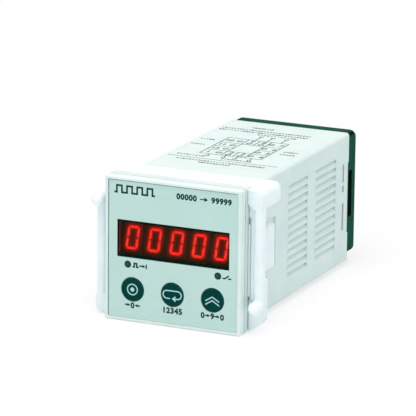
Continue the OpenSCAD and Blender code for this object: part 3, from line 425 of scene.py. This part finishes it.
def circuitBoard(look):
    # Green solder resist over a maze of tracks
    material, tree, shader, place = startMaterial("solderResist")
    tracks = addNode(tree, "TexBrick", {"offset": 0.5, "squash": 1.0}, Vector=place, Scale=1000 / look["cell"])
    tracks.inputs["Mortar Size"].default_value = look["gap"]
    tracks.inputs["Color1"].default_value = look["colour"]
    tracks.inputs["Color2"].default_value = look["shade"]
    tracks.inputs["Mortar"].default_value = look["track"]
    tree.links.new(tracks.outputs["Color"], shader.inputs["Base Color"])
    bump = addNode(tree, "Bump", None, Strength=look["bump"], Distance=look["depth"] * mm, Height=tracks.outputs["Fac"])
    tree.links.new(bump.outputs["Normal"], shader.inputs["Normal"])
    shader.inputs["Roughness"].default_value = look["rough"]
    return material


boardLook = {"cell": 6, "gap": 0.06, "bump": 0.4, "depth": 0.03, "rough": 0.35,
    "colour": srgb(24, 92, 58), "shade": srgb(20, 82, 52), "track": srgb(52, 128, 84)}
materials["solderResist"] = circuitBoard(boardLook)

nodeFinishes = {
    "casePlastic": ["case"],
    "bezelPlastic": ["bezel"],
    "filmSatin": ["fascia_film"],
    "windowAcrylic": ["display_window"],
    "moduleFace": [f"digit_module_{k}" for k in range(1, 6)],
    "segmentGlow": ["lit_segments"],
    "unlitSegment": ["dark_segments"],
    "lampLens": ["input_lamp", "output_lamp"],
    "keyCap": ["reset_key", "select_key", "advance_key"],
    "switchBlack": ["reset_plunger", "select_plunger", "advance_plunger", "reset_switch", "select_switch",
        "advance_switch", "board_headers", "transformer_base", "controller_chip"],
    "solderResist": ["display_board", "power_board", "logic_board", "rear_board"],
    "platedSteel": ["board_screws", "terminal_screws"],
    "zincWasher": ["clamping_washers"],
    "tinnedBrass": ["terminal_contacts"],
    "coreLaminations": ["transformer_core"],
    "copperWinding": ["transformer_winding"],
    "relayCover": ["relay"],
    "sleeveBlue": ["main_capacitor", "small_capacitor"],
    "discCoating": ["surge_disc"],
    "blockThermoset": ["terminal_block"],
    "clampNylon": ["mounting_clamp"],
}
for finish, names in nodeFinishes.items():
    for name in names:
        if not nodes[name].material_slots:
            nodes[name].data.materials.append(None)
        for slot in nodes[name].material_slots:
            slot.material = materials[finish]
print("finishes on", sum(len(names) for names in nodeFinishes.values()), "nodes")


# Flat print: outlines in mm on a face, raised by the ink's thickness
figureShare = 0.72  # a figure's height as a share of the font's size
sharpestMitre = 0.4  # a stroke's corner gets no wider than its width over this


def frontFace(y):
    return lambda u, v, lift: Vector((u * mm, y - lift * mm, v * mm))


def topFace(z):
    return lambda u, v, lift: Vector((u * mm, v * mm, z + lift * mm))


def rearFace(y):
    return lambda u, v, lift: Vector((-u * mm, y + lift * mm, v * mm))


def addPlate(mesh, outline, face, lift):
    low = [mesh.verts.new(face(u, v, 0)) for u, v in outline]
    high = [mesh.verts.new(face(u, v, lift)) for u, v in outline]
    mesh.faces.new(high)
    mesh.faces.new(low[::-1])
    for k in range(len(outline)):
        n = (k + 1) % len(outline)
        mesh.faces.new((low[k], low[n], high[n], high[k]))


def addStroke(mesh, path, width, face, lift, closed=False):
    # Ribbon of even width along a path, with mitred corners
    points = [Vector(p) for p in path]
    count = len(points)
    left, right = [], []
    for k, point in enumerate(points):
        back = points[k - 1] if closed or k else None
        ahead = points[(k + 1) % count] if closed or k < count - 1 else None
        one = (point - back).normalized() if back is not None else (ahead - point).normalized()
        two = (ahead - point).normalized() if ahead is not None else one
        middle = (one + two).normalized()
        side = Vector((-middle.y, middle.x)) * (width / 2 / max(sharpestMitre, middle.dot(one)))
        left.append(point + side)
        right.append(point - side)
    rails = [[mesh.verts.new(face(p.x, p.y, h)) for p in rail] for rail in (left, right) for h in (lift, 0)]
    leftHigh, leftLow, rightHigh, rightLow = rails
    for k in range(count if closed else count - 1):
        n = (k + 1) % count
        mesh.faces.new((leftHigh[k], leftHigh[n], rightHigh[n], rightHigh[k]))
        mesh.faces.new((leftLow[k], rightLow[k], rightLow[n], leftLow[n]))
        mesh.faces.new((leftHigh[k], leftLow[k], leftLow[n], leftHigh[n]))
        mesh.faces.new((rightHigh[k], rightHigh[n], rightLow[n], rightLow[k]))
    if not closed:
        for k in (0, -1):
            mesh.faces.new((leftHigh[k], rightHigh[k], rightLow[k], leftLow[k]))


def arc(u, v, radius, start, end, steps=24):
    angles = [math.radians(start + (end - start) * k / steps) for k in range(steps + 1)]
    return [(u + radius * math.cos(a), v + radius * math.sin(a)) for a in angles]


def circle(u, v, radius, sides):
    return arc(u, v, radius, 0, 360 - 360 / sides, sides - 1)


def addNumber(mesh, words, u, v, height, face, lift, spacing, bold):
    # Plain figures: the text becomes a mesh first, and then takes its place on the face
    curve = bpy.data.curves.new("figures", "FONT")
    curve.body = words
    curve.size = height / figureShare
    curve.space_character = spacing
    curve.align_x = "CENTER"
    curve.extrude = lift / 2
    curve.offset = bold
    curve.resolution_u = 3
    holder = bpy.data.objects.new("figures", curve)
    scene.collection.objects.link(holder)
    bpy.context.view_layer.update()
    shape = bpy.data.meshes.new_from_object(holder.evaluated_get(bpy.context.evaluated_depsgraph_get()))
    for vertex in shape.vertices:
        x, y, z = vertex.co
        vertex.co = face(u + x, v + y, z + lift / 2)
    mesh.from_mesh(shape)
    bpy.data.objects.remove(holder)
    bpy.data.curves.remove(curve)
    bpy.data.meshes.remove(shape)


def finishPiece(name, mesh, material, body):
    bmesh.ops.remove_doubles(mesh, verts=mesh.verts, dist=1e-7)
    bmesh.ops.recalc_face_normals(mesh, faces=mesh.faces)
    data = bpy.data.meshes.new(name)
    mesh.to_mesh(data)
    mesh.free()
    piece = bpy.data.objects.new(name, data)
    scene.collection.objects.link(piece)
    data.materials.append(materials[material])
    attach(piece, body)


# Print on the fascia film: a pulse train, a counting range, and a mark beside each lamp and key
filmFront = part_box("fascia_film")[0].y
fasciaPrint = {
    "lift": 0.02,
    "pulse": dict(start=-20.8, low=18.75, high=21.0, step=1.8, count=4, width=0.62),
    "range": dict(u=10.8, v=18.85, height=1.85, apart=6.1, arrowHalf=1.4, arrowRise=0.8, line=0.36, head=1.3),
    "thin": 0.46,
    "bold": 0.13,
    "spacing": 1.12,
    "head": 1.0,
    "headSpread": 0.55,
    "figure": 1.85,
    "lampMarkZ": -5.0,  # the marks beside the lamps, with heights from this line
    "inputPulse": [(-14.2, -0.55), (-13.6, -0.55), (-13.6, 0.65), (-12.7, 0.65), (-12.7, -0.55), (-12.0, -0.55)],
    "inputWeight": 1.2,
    "inputArrow": (-11.8, -9.6),
    "inputBar": [(-9.3, -0.75), (-9.3, 0.75)],
    "relayBlade": [(17.6, -0.4), (18.4, -0.4), (19.7, 0.6)],
    "relayContact": [(19.5, -0.4), (20.6, -0.4)],
    "keyMarkZ": -19.35,  # the marks under the keys, with distances from the key's middle
    "resetArrow": (2.7, 0.8),
    "advanceArrow": (0.75, 2.6),
    "advanceFigure": 3.4,
}


def addArrow(mesh, start, end, v, width, head, face, lift):
    neck = end - (1 if end > start else -1) * head
    spread = head * fasciaPrint["headSpread"]
    addStroke(mesh, [(start, v), (neck, v)], width, face, lift)
    addPlate(mesh, [(end, v), (neck, v + spread), (neck, v - spread)], face, lift)


def lampMark(name):
    return [(u, fasciaPrint["lampMarkZ"] + rise) for u, rise in fasciaPrint[name]]


ink = bmesh.new()
face = frontFace(filmFront)
lift, thin, bold, spacing, head = (fasciaPrint[key] for key in ("lift", "thin", "bold", "spacing", "head"))

pulse = fasciaPrint["pulse"]
half = pulse["step"] / 2
path = []
for k in range(pulse["count"]):
    u = pulse["start"] + 2 * k * pulse["step"]
    path += [(u, pulse["low"]), (u + half, pulse["low"]), (u + half, pulse["high"]),
        (u + 3 * half, pulse["high"]), (u + 3 * half, pulse["low"])]
path.append((path[-1][0] + half, pulse["low"]))
addStroke(ink, path, pulse["width"], face, lift)

counting = fasciaPrint["range"]
u, v, height = counting["u"], counting["v"], counting["height"]
addNumber(ink, "00000", u - counting["apart"], v, height, face, lift, spacing, bold)
addArrow(ink, u - counting["arrowHalf"], u + counting["arrowHalf"], v + counting["arrowRise"], counting["line"],
    counting["head"], face, lift)
addNumber(ink, "99999", u + counting["apart"], v, height, face, lift, spacing, bold)

addStroke(ink, lampMark("inputPulse"), thin * fasciaPrint["inputWeight"], face, lift)
addArrow(ink, *fasciaPrint["inputArrow"], fasciaPrint["lampMarkZ"], thin, head, face, lift)
for name in ("inputBar", "relayBlade", "relayContact"):
    addStroke(ink, lampMark(name), thin, face, lift)

keyX = {name: boxMiddle(f"{name}_key", "x") / mm for name in ("reset", "select", "advance")}
v, height = fasciaPrint["keyMarkZ"], fasciaPrint["figure"]
arrowV = v + height / 2
u, (far, near) = keyX["reset"], fasciaPrint["resetArrow"]
addArrow(ink, u - far, u - near, arrowV, thin, head, face, lift)
addNumber(ink, "0", u, v, height, face, lift, 1, bold)
addArrow(ink, u + far, u + near, arrowV, thin, head, face, lift)
addNumber(ink, "12345", keyX["select"], v, height, face, lift, spacing, bold)
u, (near, far), side = keyX["advance"], fasciaPrint["advanceArrow"], fasciaPrint["advanceFigure"]
addNumber(ink, "0", u - side, v, height, face, lift, 1, bold)
addArrow(ink, u - far, u - near, arrowV, thin, head, face, lift)
addNumber(ink, "9", u, v, height, face, lift, 1, bold)
addArrow(ink, u + near, u + far, arrowV, thin, head, face, lift)
addNumber(ink, "0", u + side, v, height, face, lift, 1, bold)
finishPiece("fasciaPrint", ink, "tealInk", "counter_body")

# Pale symbols on the three keys, which travel with them
keySymbols = {
    "lift": 0.02,
    "line": 0.4,
    "ring": dict(radius=1.75, sides=48, dot=0.72, dotSides=36),
    "loop": dict(half=1.9, radius=1.3, start=0.75, head=1.05, tip=0.15, spread=0.95),
    "chevron": dict(half=2.45, rise=1.5, step=1.2, low=-1.6, count=2),
}
keyZ = boxMiddle("reset_key", "z") / mm
face = frontFace(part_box("reset_key")[0].y)
lift, line = keySymbols["lift"], keySymbols["line"]

ink = bmesh.new()
ring = keySymbols["ring"]
addStroke(ink, circle(keyX["reset"], keyZ, ring["radius"], ring["sides"]), line, face, lift, closed=True)
addPlate(ink, circle(keyX["reset"], keyZ, ring["dot"], ring["dotSides"]), face, lift)
finishPiece("resetSymbol", ink, "paleInk", "reset_key_body")

ink = bmesh.new()
loop = keySymbols["loop"]
u, bottom = keyX["select"], keyZ - loop["radius"]
neck, spread = u + loop["tip"] + loop["head"], loop["head"] * loop["spread"]
path = [(u - loop["start"], bottom)] + arc(u - loop["half"], keyZ, loop["radius"], 270, 90)
path += arc(u + loop["half"], keyZ, loop["radius"], 90, -90) + [(neck, bottom)]
addStroke(ink, path, line, face, lift)
addPlate(ink, [(u - loop["tip"], bottom), (neck, bottom + spread), (neck, bottom - spread)], face, lift)
finishPiece("selectSymbol", ink, "paleInk", "select_key_body")

ink = bmesh.new()
chevron = keySymbols["chevron"]
for k in range(chevron["count"]):
    u, v = keyX["advance"], keyZ + chevron["low"] + k * chevron["step"]
    addStroke(ink, [(u - chevron["half"], v), (u, v + chevron["rise"]), (u + chevron["half"], v)], line, face, lift)
finishPiece("advanceSymbol", ink, "paleInk", "advance_key_body")

# Black mask inside the window's edge, a faint red line beside it, a black frame round the window on the film,
# and a painted shadow line along the film's left and top, where the film sits in its recess
borderPrint = {
    "lift": 0.015,
    "lip": 0.5,  # hidden behind the plate on each side of the pane
    "mask": dict(left=0.56, right=0.2, top=0.45, bottom=0.8),
    "redLine": dict(inset=0.68, width=0.14),
    "frame": dict(left=0.05, right=0.22, top=0.12, bottom=0.14),
    "lining": dict(gap=0.05, clear=0.005, over=0.04, ahead=0.02, deep=0.17),  # over the film's cut edge
    "filmShadowWidth": 0.2,
}


def addFrame(mesh, outer, inner, face, lift):
    # Flat frame between two rectangles given as left, bottom, right, top
    corners = [[(left, bottom), (right, bottom), (right, top), (left, top)]
        for left, bottom, right, top in (outer, inner)]
    for k in range(4):
        n = (k + 1) % 4
        addPlate(mesh, [corners[0][k], corners[0][n], corners[1][n], corners[1][k]], face, lift)


def inset(rectangle, by):
    left, bottom, right, top = rectangle
    return (left + by, bottom + by, right - by, top - by)


low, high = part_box("display_window")
lift, lip, mask = borderPrint["lift"], borderPrint["lip"], borderPrint["mask"]
face = frontFace(low.y)
pane = (low.x / mm + lip, low.z / mm + lip, high.x / mm - lip, high.z / mm - lip)
opening = (pane[0] + mask["left"], pane[1] + mask["bottom"], pane[2] - mask["right"], pane[3] - mask["top"])
ink = bmesh.new()
addFrame(ink, pane, opening, face, lift)
finishPiece("windowBorder", ink, "blackInk", "counter_body")

ink = bmesh.new()
u = pane[0] + borderPrint["redLine"]["inset"]
addStroke(ink, [(u, opening[1]), (u, opening[3])], borderPrint["redLine"]["width"], face, lift)
finishPiece("windowRedLine", ink, "redInk", "counter_body")

rim, lining = borderPrint["frame"], borderPrint["lining"]
hole = (pane[0], pane[1] - lining["gap"], pane[2], pane[3] + lining["gap"])
outside = (hole[0] - rim["left"], hole[1] - rim["bottom"], hole[2] + rim["right"], hole[3] + rim["top"])
ink = bmesh.new()
addFrame(ink, outside, inset(hole, lining["over"]), frontFace(filmFront), lift)
addFrame(ink, inset(hole, lining["clear"]), inset(hole, lining["over"]), frontFace(low.y - lining["ahead"] * mm),
    lining["deep"])
finishPiece("windowFrame", ink, "blackInk", "counter_body")

# Painted shadow of the film's recess, as a thin line along its left and top
low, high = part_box("fascia_film")
half = borderPrint["filmShadowWidth"] / 2
left, top = low.x / mm + half, high.z / mm - half
ink = bmesh.new()
addStroke(ink, [(left, low.z / mm), (left, top), (high.x / mm, top)], 2 * half, frontFace(low.y), lift)
finishPiece("filmEdgePaintedShadow", ink, "recessShadowInk", "counter_body")

# A low dome on each lamp's lens
lensDome = {"radius": 1.12, "rise": 0.22, "rings": 6, "sides": 32}
rings, sides = lensDome["rings"], lensDome["sides"]
turns = [2 * math.pi * n / sides for n in range(sides)]
dome = bmesh.new()
for lamp in ("input_lamp", "output_lamp"):
    middle = Vector((boxMiddle(lamp, "x"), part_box(lamp)[0].y, boxMiddle(lamp, "z")))
    rows = []
    for k in range(rings):
        tilt = math.pi / 2 * k / rings
        across, ahead = lensDome["radius"] * math.cos(tilt) * mm, lensDome["rise"] * math.sin(tilt) * mm
        rows.append([dome.verts.new(middle + Vector((across * math.cos(turn), -ahead, across * math.sin(turn))))
            for turn in turns])
    tip = dome.verts.new(middle + Vector((0, -lensDome["rise"] * mm, 0)))
    for k in range(sides):
        n = (k + 1) % sides
        for one, two in zip(rows, rows[1:]):
            dome.faces.new((one[k], one[n], two[n], two[k]))
        dome.faces.new((rows[-1][k], rows[-1][n], tip))
    dome.faces.new(rows[0][::-1])
for domeFace in dome.faces:
    domeFace.smooth = len(domeFace.verts) < sides
finishPiece("lampDomes", dome, "lampLens", "counter_body")
print("fascia printed")

# Wiring layout on top of the case: cells of the twelve terminals, leads and plain figures
wiringPrint = {
    "lift": 0.015,
    "line": 0.42,
    "sleeveFrom": 20,  # behind this Y only the sleeve is left, and its top carries the print
    "dot": dict(radius=0.95, aside=1.85, above=1.5, line=0.42, sides=24),
    "rule": [(-20.2, 33.6), (19.4, 33.6)],
    "outer": (-11.8, 40.4, 10.2, 64.2),
    "inner": (-4.2, 46.4, 4.2, 57.4),
    "figure": dict(height=2.3, spacing=0.9, bold=0.12),
    "leadsFront": dict(places=[-8.0, -2.1, 2.1, 7.2], end=-2.0, ring=-2.6),
    "leadsRear": dict(places=[-2.1, 2.1, 7.2], end=4.6, ring=5.3),
    "leadRing": 0.6,
}
# Terminals 1 to 12 run round a square of four by four places
terminalOrder = [(0, 0), (1, 0), (2, 0), (3, 0), (3, 1), (3, 2), (3, 3), (2, 3), (1, 3), (0, 3), (0, 2), (0, 1)]
sleeveFrom = wiringPrint["sleeveFrom"] * mm
caseTop = max(vertex.co.z for vertex in nodes["case"].data.vertices if vertex.co.y > sleeveFrom)
ink = bmesh.new()
face = topFace(caseTop)
lift, line = wiringPrint["lift"], wiringPrint["line"]
u0, v0, u1, v1 = wiringPrint["outer"]
a0, b0, a1, b1 = wiringPrint["inner"]
for left, bottom, right, top in (wiringPrint["outer"], wiringPrint["inner"]):
    addStroke(ink, [(left, bottom), (right, bottom), (right, top), (left, top)], line, face, lift, closed=True)
middleU, middleV = (a0 + a1) / 2, (b0 + b1) / 2
walls = [((u, start), (u, end)) for start, end in ((v0, b0), (b1, v1)) for u in (a0, middleU, a1)]
walls += [((start, v), (end, v)) for start, end in ((u0, a0), (a1, u1)) for v in (b0, middleV, b1)]
for wall in walls + [wiringPrint["rule"]]:
    addStroke(ink, wall, line, face, lift)
columns = [(u0 + a0) / 2, (a0 + middleU) / 2, (middleU + a1) / 2, (a1 + u1) / 2]
rows = [(v0 + b0) / 2, (b0 + middleV) / 2, (middleV + b1) / 2, (b1 + v1) / 2]
dot, figure = wiringPrint["dot"], wiringPrint["figure"]
reach = (dot["radius"] - dot["line"] / 2) / math.sqrt(2)
for k, (column, row) in enumerate(terminalOrder):
    # A figure and a screw mark: side by side in the wide cells, one above the other in the narrow ones
    u, v = columns[column], rows[row]
    if a0 < u < a1:
        figureU, figureV, dotU, dotV = u, v + dot["above"], u, v - dot["above"]
    else:
        away = dot["aside"] if u < middleU else -dot["aside"]
        figureU, figureV, dotU, dotV = u - away, v, u + away, v
    addNumber(ink, str(k + 1), figureU, figureV - figure["height"] / 2, figure["height"], face, lift,
        figure["spacing"], figure["bold"])
    addStroke(ink, circle(dotU, dotV, dot["radius"], dot["sides"]), dot["line"], face, lift, closed=True)
    addStroke(ink, [(dotU - reach, dotV - reach), (dotU + reach, dotV + reach)], dot["line"], face, lift)
for leads, v in ((wiringPrint["leadsFront"], v0), (wiringPrint["leadsRear"], v1)):
    for u in leads["places"]:
        addStroke(ink, [(u, v), (u, v + leads["end"])], line, face, lift)
        addStroke(ink, circle(u, v + leads["ring"], wiringPrint["leadRing"], dot["sides"]), line, face, lift,
            closed=True)
finishPiece("wiringPrint", ink, "greyInk", "counter_body")
print("wiring layout printed")

# Plain figures on the terminal block's middle plate, beside the twelve terminals
terminalPrint = {"lift": 0.015, "figure": 1.7, "pitch": 10.4, "edge": 9.5, "bold": 0.05}
near, far, height = terminalPrint["pitch"] / 2, terminalPrint["edge"], terminalPrint["figure"]
steps = [-far, -near, near, far]
face = rearFace(blockHigh.y)
ink = bmesh.new()
for k, (column, row) in enumerate(terminalOrder):
    addNumber(ink, str(k + 1), steps[column], blockMiddle.z / mm + steps[row] - height / 2, height, face,
        terminalPrint["lift"], 1, terminalPrint["bold"])
finishPiece("terminalPrint", ink, "paleInk", "counter_body")
print("terminals numbered")


# Rows of short dashes on the top: lengths and strokes in mm, and the least share of the stroke that a dash gets
dashLook = {"shortest": 0.4, "longest": 1.0, "stroke": 1.5, "lowest": 0.55, "thickness": 0.015, "otherSeed": 20}


def dashTree():
    tree = bpy.data.node_groups.new("printedDashes", "GeometryNodeTree")
    sockets = tree.interface
    sockets.new_socket("Geometry", in_out="INPUT", socket_type="NodeSocketGeometry")
    wanted = (("Columns", "NodeSocketInt", 10), ("Rows", "NodeSocketInt", 2), ("Pitch", "NodeSocketFloat", 0.002),
        ("Row Step", "NodeSocketFloat", 0.002), ("Shortest", "NodeSocketFloat", 0.0006),
        ("Longest", "NodeSocketFloat", 0.0018), ("Stroke", "NodeSocketFloat", 0.0003),
        ("Thickness", "NodeSocketFloat", 0.00002), ("Seed", "NodeSocketInt", 1), ("Ink", "NodeSocketMaterial", None))
    for name, kind, value in wanted:
        socket = sockets.new_socket(name, in_out="INPUT", socket_type=kind)
        if value is not None:
            socket.default_value = value
    sockets.new_socket("Geometry", in_out="OUTPUT", socket_type="NodeSocketGeometry")
    sizes = addNode(tree, "NodeGroupInput").outputs
    leave = addNode(tree, "NodeGroupOutput")

    width = calculate(tree, "MULTIPLY", calculate(tree, "SUBTRACT", sizes["Columns"], 1), sizes["Pitch"])
    height = calculate(tree, "MULTIPLY", calculate(tree, "SUBTRACT", sizes["Rows"], 1), sizes["Row Step"])
    grid = addNode(tree, "GeometryNodeMeshGrid", None, Size_X=width, Size_Y=height,
        Vertices_X=sizes["Columns"], Vertices_Y=sizes["Rows"])
    points = addNode(tree, "GeometryNodeMeshToPoints", None, Mesh=grid.outputs["Mesh"])
    length = addNode(tree, "FunctionNodeRandomValue", {"data_type": "FLOAT"}, Seed=sizes["Seed"])
    tree.links.new(sizes["Shortest"], length.inputs[2])
    tree.links.new(sizes["Longest"], length.inputs[3])
    share = addNode(tree, "FunctionNodeRandomValue", {"data_type": "FLOAT"},
        Seed=calculate(tree, "ADD", sizes["Seed"], dashLook["otherSeed"]))
    share.inputs[2].default_value = dashLook["lowest"]
    stroke = calculate(tree, "MULTIPLY", sizes["Stroke"], share.outputs[1])
    scale = addNode(tree, "CombineXYZ", None, X=length.outputs[1], Y=stroke, Z=sizes["Thickness"])
    cube = addNode(tree, "GeometryNodeMeshCube")
    stamped = addNode(tree, "GeometryNodeInstanceOnPoints", None, Points=points.outputs["Points"],
        Instance=cube.outputs["Mesh"], Scale=scale.outputs["Vector"])
    real = addNode(tree, "GeometryNodeRealizeInstances", None, Geometry=stamped.outputs["Instances"])
    inked = addNode(tree, "GeometryNodeSetMaterial", None, Geometry=real.outputs["Geometry"], Material=sizes["Ink"])
    tree.links.new(inked.outputs["Geometry"], leave.inputs["Geometry"])
    return tree


def runTree(name, tree, values, place, body):
    # The modifier is set by socket identifier, evaluated once, and its result kept as a plain mesh
    holder = bpy.data.objects.new(name + "Source", bpy.data.meshes.new(name + "Source"))
    scene.collection.objects.link(holder)
    modifier = holder.modifiers.new("build", "NODES")
    modifier.node_group = tree
    sockets = {item.name: item.identifier for item in tree.interface.items_tree
        if item.item_type == "SOCKET" and item.in_out == "INPUT"}
    for key, value in values.items():
        modifier[sockets[key]] = value
    bpy.context.view_layer.update()
    data = bpy.data.meshes.new_from_object(holder.evaluated_get(bpy.context.evaluated_depsgraph_get()))
    holder.modifiers.remove(modifier)
    bpy.data.objects.remove(holder)
    data.name = name
    data.transform(place)
    piece = bpy.data.objects.new(name, data)
    scene.collection.objects.link(piece)
    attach(piece, body)


finePrint = {
    "frontLong": dict(place=(0.0, 30.9), columns=29, rows=1, pitch=1.1, step=0, seed=4),
    "frontShort": dict(place=(-1.2, 28.5), columns=11, rows=1, pitch=1.05, step=0, seed=5),
    "labelsLeft": dict(place=(-13.4, 36.6), columns=9, rows=1, pitch=1.1, step=0, seed=6),
    "labelsRight": dict(place=(3.4, 36.0), columns=10, rows=1, pitch=1.1, step=0, seed=11),
    "left": dict(place=(-17.4, 55.3), columns=5, rows=2, pitch=1.05, step=7.6, seed=7),
    "right": dict(place=(15.6, 51.8), columns=5, rows=2, pitch=1.1, step=3.4, seed=8),
    "rearLabels": dict(place=(2.4, 72.0), columns=12, rows=1, pitch=1.2, step=0, seed=12),
    "rearLong": dict(place=(-3.6, 75.8), columns=30, rows=2, pitch=1.1, step=2.6, seed=9),
    "rearShort": dict(place=(-6.4, 80.6), columns=8, rows=1, pitch=1.0, step=0, seed=10),
}
tree = dashTree()
for where, row in finePrint.items():
    middle = Vector((row["place"][0] * mm, row["place"][1] * mm, caseTop + dashLook["thickness"] / 2 * mm))
    values = {"Columns": row["columns"], "Rows": row["rows"], "Pitch": row["pitch"] * mm, "Row Step": row["step"] * mm,
        "Shortest": dashLook["shortest"] * mm, "Longest": dashLook["longest"] * mm, "Stroke": dashLook["stroke"] * mm,
        "Thickness": dashLook["thickness"] * mm, "Seed": row["seed"], "Ink": materials["greyInk"]}
    runTree("finePrint" + where[0].upper() + where[1:], tree, values, Matrix.Translation(middle), "counter_body")
print("small print done")

# Camera at the photograph's angle
cameraLook = {
    "lens": 314.8,
    "sensor": 36,
    "clip": (0.01, 50),
    "azimuth": 24.237,
    "elevation": 14.719,
    "roll": 0.636,
    "place": (0.470666, -1.023948, 0.310499),
}
azimuth, elevation, roll = (math.radians(cameraLook[key]) for key in ("azimuth", "elevation", "roll"))
back = Vector((math.sin(azimuth) * math.cos(elevation), -math.cos(azimuth) * math.cos(elevation),
    math.sin(elevation)))
right = (-back).cross(Vector((0, 0, 1))).normalized()
up = right.cross(-back)
turnedRight = right * math.cos(roll) + up * math.sin(roll)
turnedUp = up * math.cos(roll) - right * math.sin(roll)
camera = bpy.data.objects.new("camera", bpy.data.cameras.new("camera"))
scene.collection.objects.link(camera)
camera.data.lens = cameraLook["lens"]
camera.data.sensor_width = cameraLook["sensor"]
camera.data.clip_start, camera.data.clip_end = cameraLook["clip"]
camera.matrix_world = Matrix((turnedRight, turnedUp, back)).transposed().to_4x4()
camera.location = cameraLook["place"]
scene.camera = camera

# Studio: a pale floor, a large soft lamp above and in front, and an even white surround
studio = {
    "floorSize": 6,
    "floorDrop": 0.05,
    "floorColour": srgb(244, 247, 247),
    "floorShade": srgb(248, 250, 250),
    "floorHaze": 6.0,
    "floorRough": 0.9,
    "floorGloss": 0.1,
    "floorWhite": 0.7,
    "whiteFrom": 0.12,
    "whiteTo": 0.45,
    "surround": 0.62,
    "surroundColour": (0.855, 1.01, 1.035, 1),
    "aim": (0, 0.03, 0),
    "lamps": [
        dict(name="overheadFront", place=(0.11, -0.22, 0.85), size=0.8, power=7.1, colour=(1, 0.775, 0.745)),
    ],
}


def seenDirectly(tree):
    # One where the camera sees something itself, or in a gloss or through glass
    path = addNode(tree, "LightPath")
    total = path.outputs["Is Camera Ray"]
    for name in ("Is Glossy Ray", "Is Transmission Ray"):
        total = calculate(tree, "MAXIMUM", total, path.outputs[name])
    return total


floorMesh = bmesh.new()
half, level = studio["floorSize"] / 2, cadBox[0][2] - studio["floorDrop"] * mm
floorMesh.faces.new([floorMesh.verts.new((x, y, level)) for x, y in
    ((-half, -half), (half, -half), (half, half), (-half, half))])
floorData = bpy.data.meshes.new("floor")
floorMesh.to_mesh(floorData)
floorMesh.free()
floor = bpy.data.objects.new("floor", floorData)
scene.collection.objects.link(floor)
floorMaterial, tree, shader, place = startMaterial("paleFloor")
haze = addNode(tree, "TexNoise", None, Vector=place, Scale=studio["floorHaze"], Detail=2.0)
floorTone = mixColour(tree, haze.outputs["Fac"], studio["floorColour"], studio["floorShade"])
tree.links.new(floorTone, shader.inputs["Base Color"])
shader.inputs["Roughness"].default_value = studio["floorRough"]
shader.inputs["Specular IOR Level"].default_value = studio["floorGloss"]
white = addNode(tree, "Emission", None, Color=(1, 1, 1, 1), Strength=1.0)
evenWhite = remap(tree, vectorLength(tree, place), studio["whiteFrom"], studio["whiteTo"], studio["floorWhite"], 1)
blend = addNode(tree, "MixShader")
tree.links.new(calculate(tree, "MULTIPLY", seenDirectly(tree), evenWhite), blend.inputs[0])
tree.links.new(shader.outputs[0], blend.inputs[1])
tree.links.new(white.outputs[0], blend.inputs[2])
tree.links.new(blend.outputs[0], tree.nodes["Material Output"].inputs["Surface"])
floorData.materials.append(floorMaterial)

world = bpy.data.worlds.new("surround")
scene.world = world
world.use_nodes = True
tree = world.node_tree
background = tree.nodes["Background"]
direct = seenDirectly(tree)
tree.links.new(mixColour(tree, direct, studio["surroundColour"], (1, 1, 1, 1)), background.inputs["Color"])
tree.links.new(remap(tree, direct, 0, 1, studio["surround"], 1), background.inputs["Strength"])

for lamp in studio["lamps"]:
    light = bpy.data.lights.new(lamp["name"], "AREA")
    light.energy = lamp["power"]
    light.size = lamp["size"]
    light.color = lamp["colour"]
    holder = bpy.data.objects.new(lamp["name"], light)
    scene.collection.objects.link(holder)
    holder.location = lamp["place"]
    aim = Vector(studio["aim"]) - Vector(lamp["place"])
    holder.rotation_euler = aim.to_track_quat("-Z", "Y").to_euler()
scene.view_settings.view_transform = "Standard"
print("studio ready")
